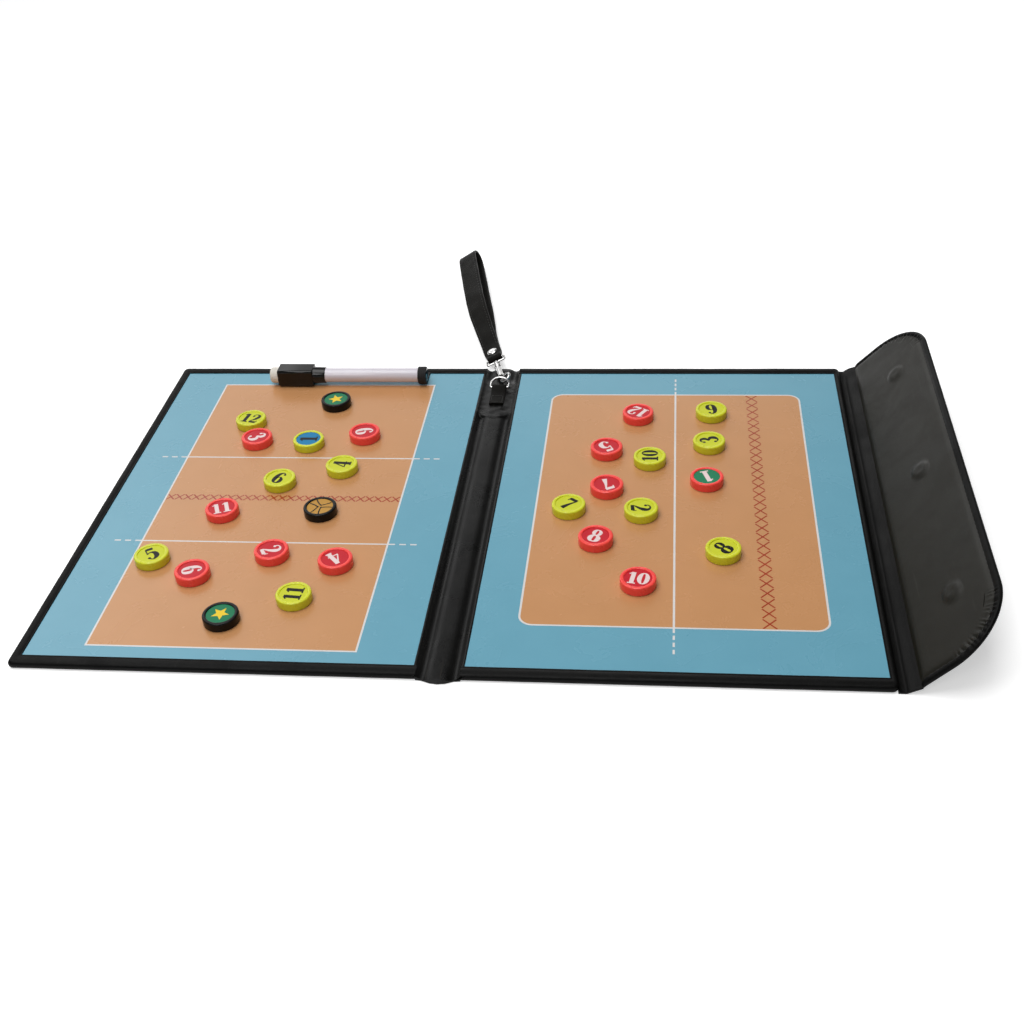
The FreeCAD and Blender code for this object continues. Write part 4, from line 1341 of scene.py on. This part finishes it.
spring_form = Form()
coil = []
for i in range(COIL_TURNS * TURN_STEPS + 1):
    turn = 2 * math.pi * i / TURN_STEPS
    level = COIL_START + COIL_LENGTH * i / (COIL_TURNS * TURN_STEPS)
    coil.append(HOOK @ Vector((COIL_RADIUS * math.cos(turn), level, COIL_RADIUS * math.sin(turn))))
wire(spring_form, coil, COIL_WIRE, 8)
spring = piece("bolt_spring", spring_form, [steel], "clasp", ["clasp_spring"])
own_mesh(spring)

EYE_WIRE = 0.75

eye_form = spun((
    (-3.5, 0.0), (-3.5, 1.8), (-1.5, 1.8), (-1.5, 1.15), (0.15, 1.15), (0.15, 1.7), (0.35, 1.9),
    (1.9, 1.9), (2.5, 1.6), (2.9, 1.0), (2.9, 0.0),
), STRAP @ UPRIGHT, 36)
eye_line = (
    arc((5.65, 3.7), 1.0, -90, 0, 6) + arc((5.65, 6.6), 1.0, 0, 90, 6)
    + [(x, 7.6) for x in spread(4.0, -4.0, 5)]
    + arc((-5.65, 6.6), 1.0, 90, 180, 6) + arc((-5.65, 3.7), 1.0, 180, 270, 6)
    + [(x, 2.7) for x in spread(-4.0, 4.0, 5)]
)
wire(eye_form, [STRAP @ Vector((x, y, 0)) for x, y in eye_line], EYE_WIRE, WIRE_SIDES, loop=True)
piece("swivel_loop", eye_form, [metal], "eye", ["swivel_eye"], crease=35)

STRAP_LINE = (
    # distance along the strap, height: over the bar, out along the upper leg, back along the lower one
    (6.33, 1.27), (7.6, 1.8), (9.4, 1.5), (12.0, 0.98), (15.6, 0.9), (19.5, 0.9), (23.0, 1.0),
    (28.0, 1.6), (40.0, 3.4), (60.0, 5.2), (80.0, 6.3), (120.0, 6.8), (150.0, 6.7), (162.0, 6.2),
    (168.4, 4.5), (171.0, 1.7), (168.4, -1.1), (162.0, -2.8), (150.0, -3.2), (120.0, -3.3),
    (80.0, -3.2), (60.0, -2.8), (40.0, -1.8), (24.0, -1.0), (19.5, -0.9), (15.6, -0.9),
    (12.0, -0.98), (9.4, -1.5), (7.6, -1.8), (6.33, -1.27), (5.8, 0.0),
)
STRAP_HALF = 5.25
STRAP_THICK = 0.9
STRAP_EDGE = 0.55
STRAP_FREE = 24
STRAP_TWIST = math.radians(-6)
STRAP_LEAN = 0.26
STRAP_BEND = 8.0
# Lengths over which it comes free and bends, and what makes up for a bend that isn't over at its end
FREE_LENGTH = 60
BEND_LENGTH = 210
BEND_MAKE_UP = 1.35
# Shares of its width that the strap gains behind the eye's bar and beyond the rivet
FIXED_GAIN = 0.2
FREE_GAIN = 0.18
LOOP_MIDDLE = 1.7
STITCH_IN = 1.25
STITCH_PITCH = 3.4
STITCH_LENGTH = 2.3
STRAP_THREAD = 0.17
RIVET_PLACE = 15.6


def strap_place(across, t, h):
    """A point of the strap. Beyond the rivet it widens, leans over, twists a little and bends aside."""
    free = ease((t - STRAP_FREE) / FREE_LENGTH)
    slack = ripple((t, h, 0), 18, 4.0)
    wide = across * (1 + FIXED_GAIN * ease((t - 9) / 8) + FREE_GAIN * free)
    high = h - LOOP_MIDDLE + free * 0.25 * slack
    turn = STRAP_TWIST * free
    bent = STRAP_BEND * ease((t - STRAP_FREE) / BEND_LENGTH) * BEND_MAKE_UP
    aside = free * 0.4 * slack + bent
    return STRAP @ Vector((
        wide * math.cos(turn) - high * STRAP_LEAN * free + aside,
        t,
        LOOP_MIDDLE - wide * math.sin(turn) + high * math.cos(turn),
    ))


def wrist_strap():
    """A flat loop of leather, folded over the eye's bar."""
    line = flowing(STRAP_LINE, 6, loop=True)
    section = soft_section(STRAP_HALF, STRAP_THICK, STRAP_EDGE)
    rows = []
    for i, (t, h) in enumerate(line):
        out = left_of(heading(line, i, loop=True))
        rows.append([strap_place(w, t + out.x * n, h + out.y * n) for w, n in section])
    return Form(rows, ring=True, loop=True)


def strap_stitches():
    """Two rows of stitches along the outside of both legs, from beyond the rivet round the bend."""
    line = flowing(STRAP_LINE, 40, loop=True)
    form = Form()
    travelled = 0.0
    due = 0.0
    for i, (t, h) in enumerate(line):
        travelled += math.hypot(t - line[i - 1][0], h - line[i - 1][1]) if i else 0.0
        if t < STRAP_FREE or travelled < due:
            continue
        due = travelled + STITCH_PITCH
        along = heading(line, i, loop=True)
        out = left_of(along)
        t, h = t + out.x * STRAP_THICK, h + out.y * STRAP_THICK
        for x in (STITCH_IN - STRAP_HALF, STRAP_HALF - STITCH_IN):
            start = strap_place(x, t, h)
            stop = strap_place(x, t + along.x * STITCH_LENGTH, h + along.y * STITCH_LENGTH)
            above = strap_place(x, t + out.x, h + out.y)
            stitch(form, start, stop, (above - start).normalized(), STRAP_THREAD)
    return form


strap_form = wrist_strap()
piece(
    "wrist_strap_leather", strap_form, [strap_leather], "strap", ["wrist_strap"],
    crease=50,
)
piece("strap_stitching", strap_stitches(), [thread], "strap")

rivet_form = Form()
for flip in (1, -1):
    place = STRAP @ Matrix.Translation((0, RIVET_PLACE, 0)) @ Matrix.Scale(flip, 4, (0, 0, 1))
    turned(rivet_form, (
        (1.25, 0.0), (1.25, 1.7), (3.45, 1.72), (3.68, 1.86), (3.7, 2.02), (3.55, 2.3), (3.1, 2.62),
        (2.4, 2.82), (1.7, 2.88), (1.35, 2.80), (1.0, 2.74), (0.0, 2.72),
    ), place, 40)
piece("rivet_caps", rivet_form, [metal], "strap", ["strap_rivet"])


# Finishes of the CAD pieces, by their slots

SLOT_FINISHES = dict(
    black_leather=leather, fibre_board=board, plain_steel=steel, court_print=print_blue,
    bright_metal=metal, black_elastic=elastic, black_plastic=black_plastic,
    white_plastic=white_plastic, fibre_wick=wick, white_felt=felt,
    yellow_counter=yellow_cup, red_counter=red_cup, black_counter=black_cup,
)
node_slots = {part["node"]: part["material_slot"] for part in frame["record"]["subparts"]}
for node, made in frame["nodes"].items():
    made.data.materials.clear()
    made.data.materials.append(magnet if node == "flap_magnets" else SLOT_FINISHES[node_slots[node]])


# Stage, light and camera

FLOOR_HALF = 6.0
FLOOR_LEVEL = -0.0003


def stage_finish(name, shade, glow):
    """White paper that keeps shadows and shows as a white ground to the camera and in reflections."""
    material = bpy.data.materials.new(name)
    material.use_nodes = True
    tree = material.node_tree
    tree.nodes.remove(tree.nodes["Principled BSDF"])
    paper = put(tree, "BsdfDiffuse", {"Color": (shade, shade, shade, 1.0)})
    rays = put(tree, "LightPath").outputs
    seen = maths(tree, "MAXIMUM", rays["Is Camera Ray"], rays["Is Glossy Ray"])
    seen = maths(tree, "MAXIMUM", seen, rays["Is Transmission Ray"])
    light = put(tree, "Emission", {"Strength": maths(tree, "MULTIPLY", seen, glow)})
    both = put(tree, "AddShader", {0: paper.outputs[0], 1: light.outputs[0]})
    tree.links.new(both.outputs[0], tree.nodes["Material Output"].inputs["Surface"])
    return material


def floor():
    mesh = bpy.data.meshes.new("floor")
    signs = ((-1, -1), (1, -1), (1, 1), (-1, 1))
    corners = [(x * FLOOR_HALF, y * FLOOR_HALF, FLOOR_LEVEL) for x, y in signs]
    mesh.from_pydata(corners, [], [(0, 1, 2, 3)])
    mesh.materials.append(stage_finish("white_paper", 0.86, 0.5))
    made = placed("floor", mesh)


def softbox(name, place, size, power):
    """A rectangular lamp in metres and watts, turned to the middle of the board."""
    lamp = bpy.data.lights.new(name, "AREA")
    lamp.shape = "RECTANGLE"
    lamp.size, lamp.size_y = size
    lamp.energy = power
    made = placed(name, lamp)
    made.location = place
    made.rotation_euler = (-Vector(place)).to_track_quat("-Z", "Y").to_euler()


SOFT_GLOWS = (
    # direction, cosine where it begins, strength in its middle
    ((-0.516, 0.661, 0.545), 0.935, 2.0),
    ((-0.083, 0.947, 0.309), 0.93, 1.4),
)
WALL_LEVEL = 0.85
CEILING_LEVEL = 0.12


def studio_world():
    """Pale walls round the table, a dim ceiling, and broad soft glows at the back."""
    world = bpy.data.worlds.new("studio")
    bpy.context.scene.world = world
    world.use_nodes = True
    tree = world.node_tree
    ground = tree.nodes["Background"]
    ground.inputs["Color"].default_value = (1.0, 1.0, 1.0, 1.0)
    toward = put(tree, "TexCoord").outputs["Generated"]
    height = put(tree, "SeparateXYZ", {0: toward}).outputs["Z"]
    level = ranged(tree, height, 0.02, 0.2, WALL_LEVEL, CEILING_LEVEL)
    for middle, start, strength in SOFT_GLOWS:
        near = put(tree, "VectorMath", {0: toward, 1: middle}, operation="DOT_PRODUCT").outputs["Value"]
        level = maths(tree, "ADD", level, ranged(tree, near, start, 1.0, 0.0, strength))
    tree.links.new(level, ground.inputs["Strength"])


floor()
softbox("overhead_softbox", (-0.3, 0.0, 1.7), (1.5, 1.3), 25)
softbox("front_softbox", (-0.4, -1.35, 1.35), (0.5, 0.5), 5)
studio_world()

CAMERA_PLACE = (0.1157, -0.64781, 0.4587)
CAMERA_RIGHT = (0.993, 0.10292, -0.05801)
CAMERA_AHEAD = (-0.11744, 0.80644, -0.57953)

lens = bpy.data.cameras.new("camera")
lens.sensor_width = 36.0
lens.lens = 46.66
lens.clip_end = 50.0
camera = placed("camera", lens)
right = Vector(CAMERA_RIGHT).normalized()
ahead = Vector(CAMERA_AHEAD)
ahead = (ahead - right * ahead.dot(right)).normalized()
up = right.cross(ahead)
turn = Matrix((right, up, -ahead)).transposed().to_4x4()
camera.matrix_world = Matrix.Translation(CAMERA_PLACE) @ turn
bpy.context.scene.camera = camera
bpy.context.scene.view_settings.view_transform = "Standard"
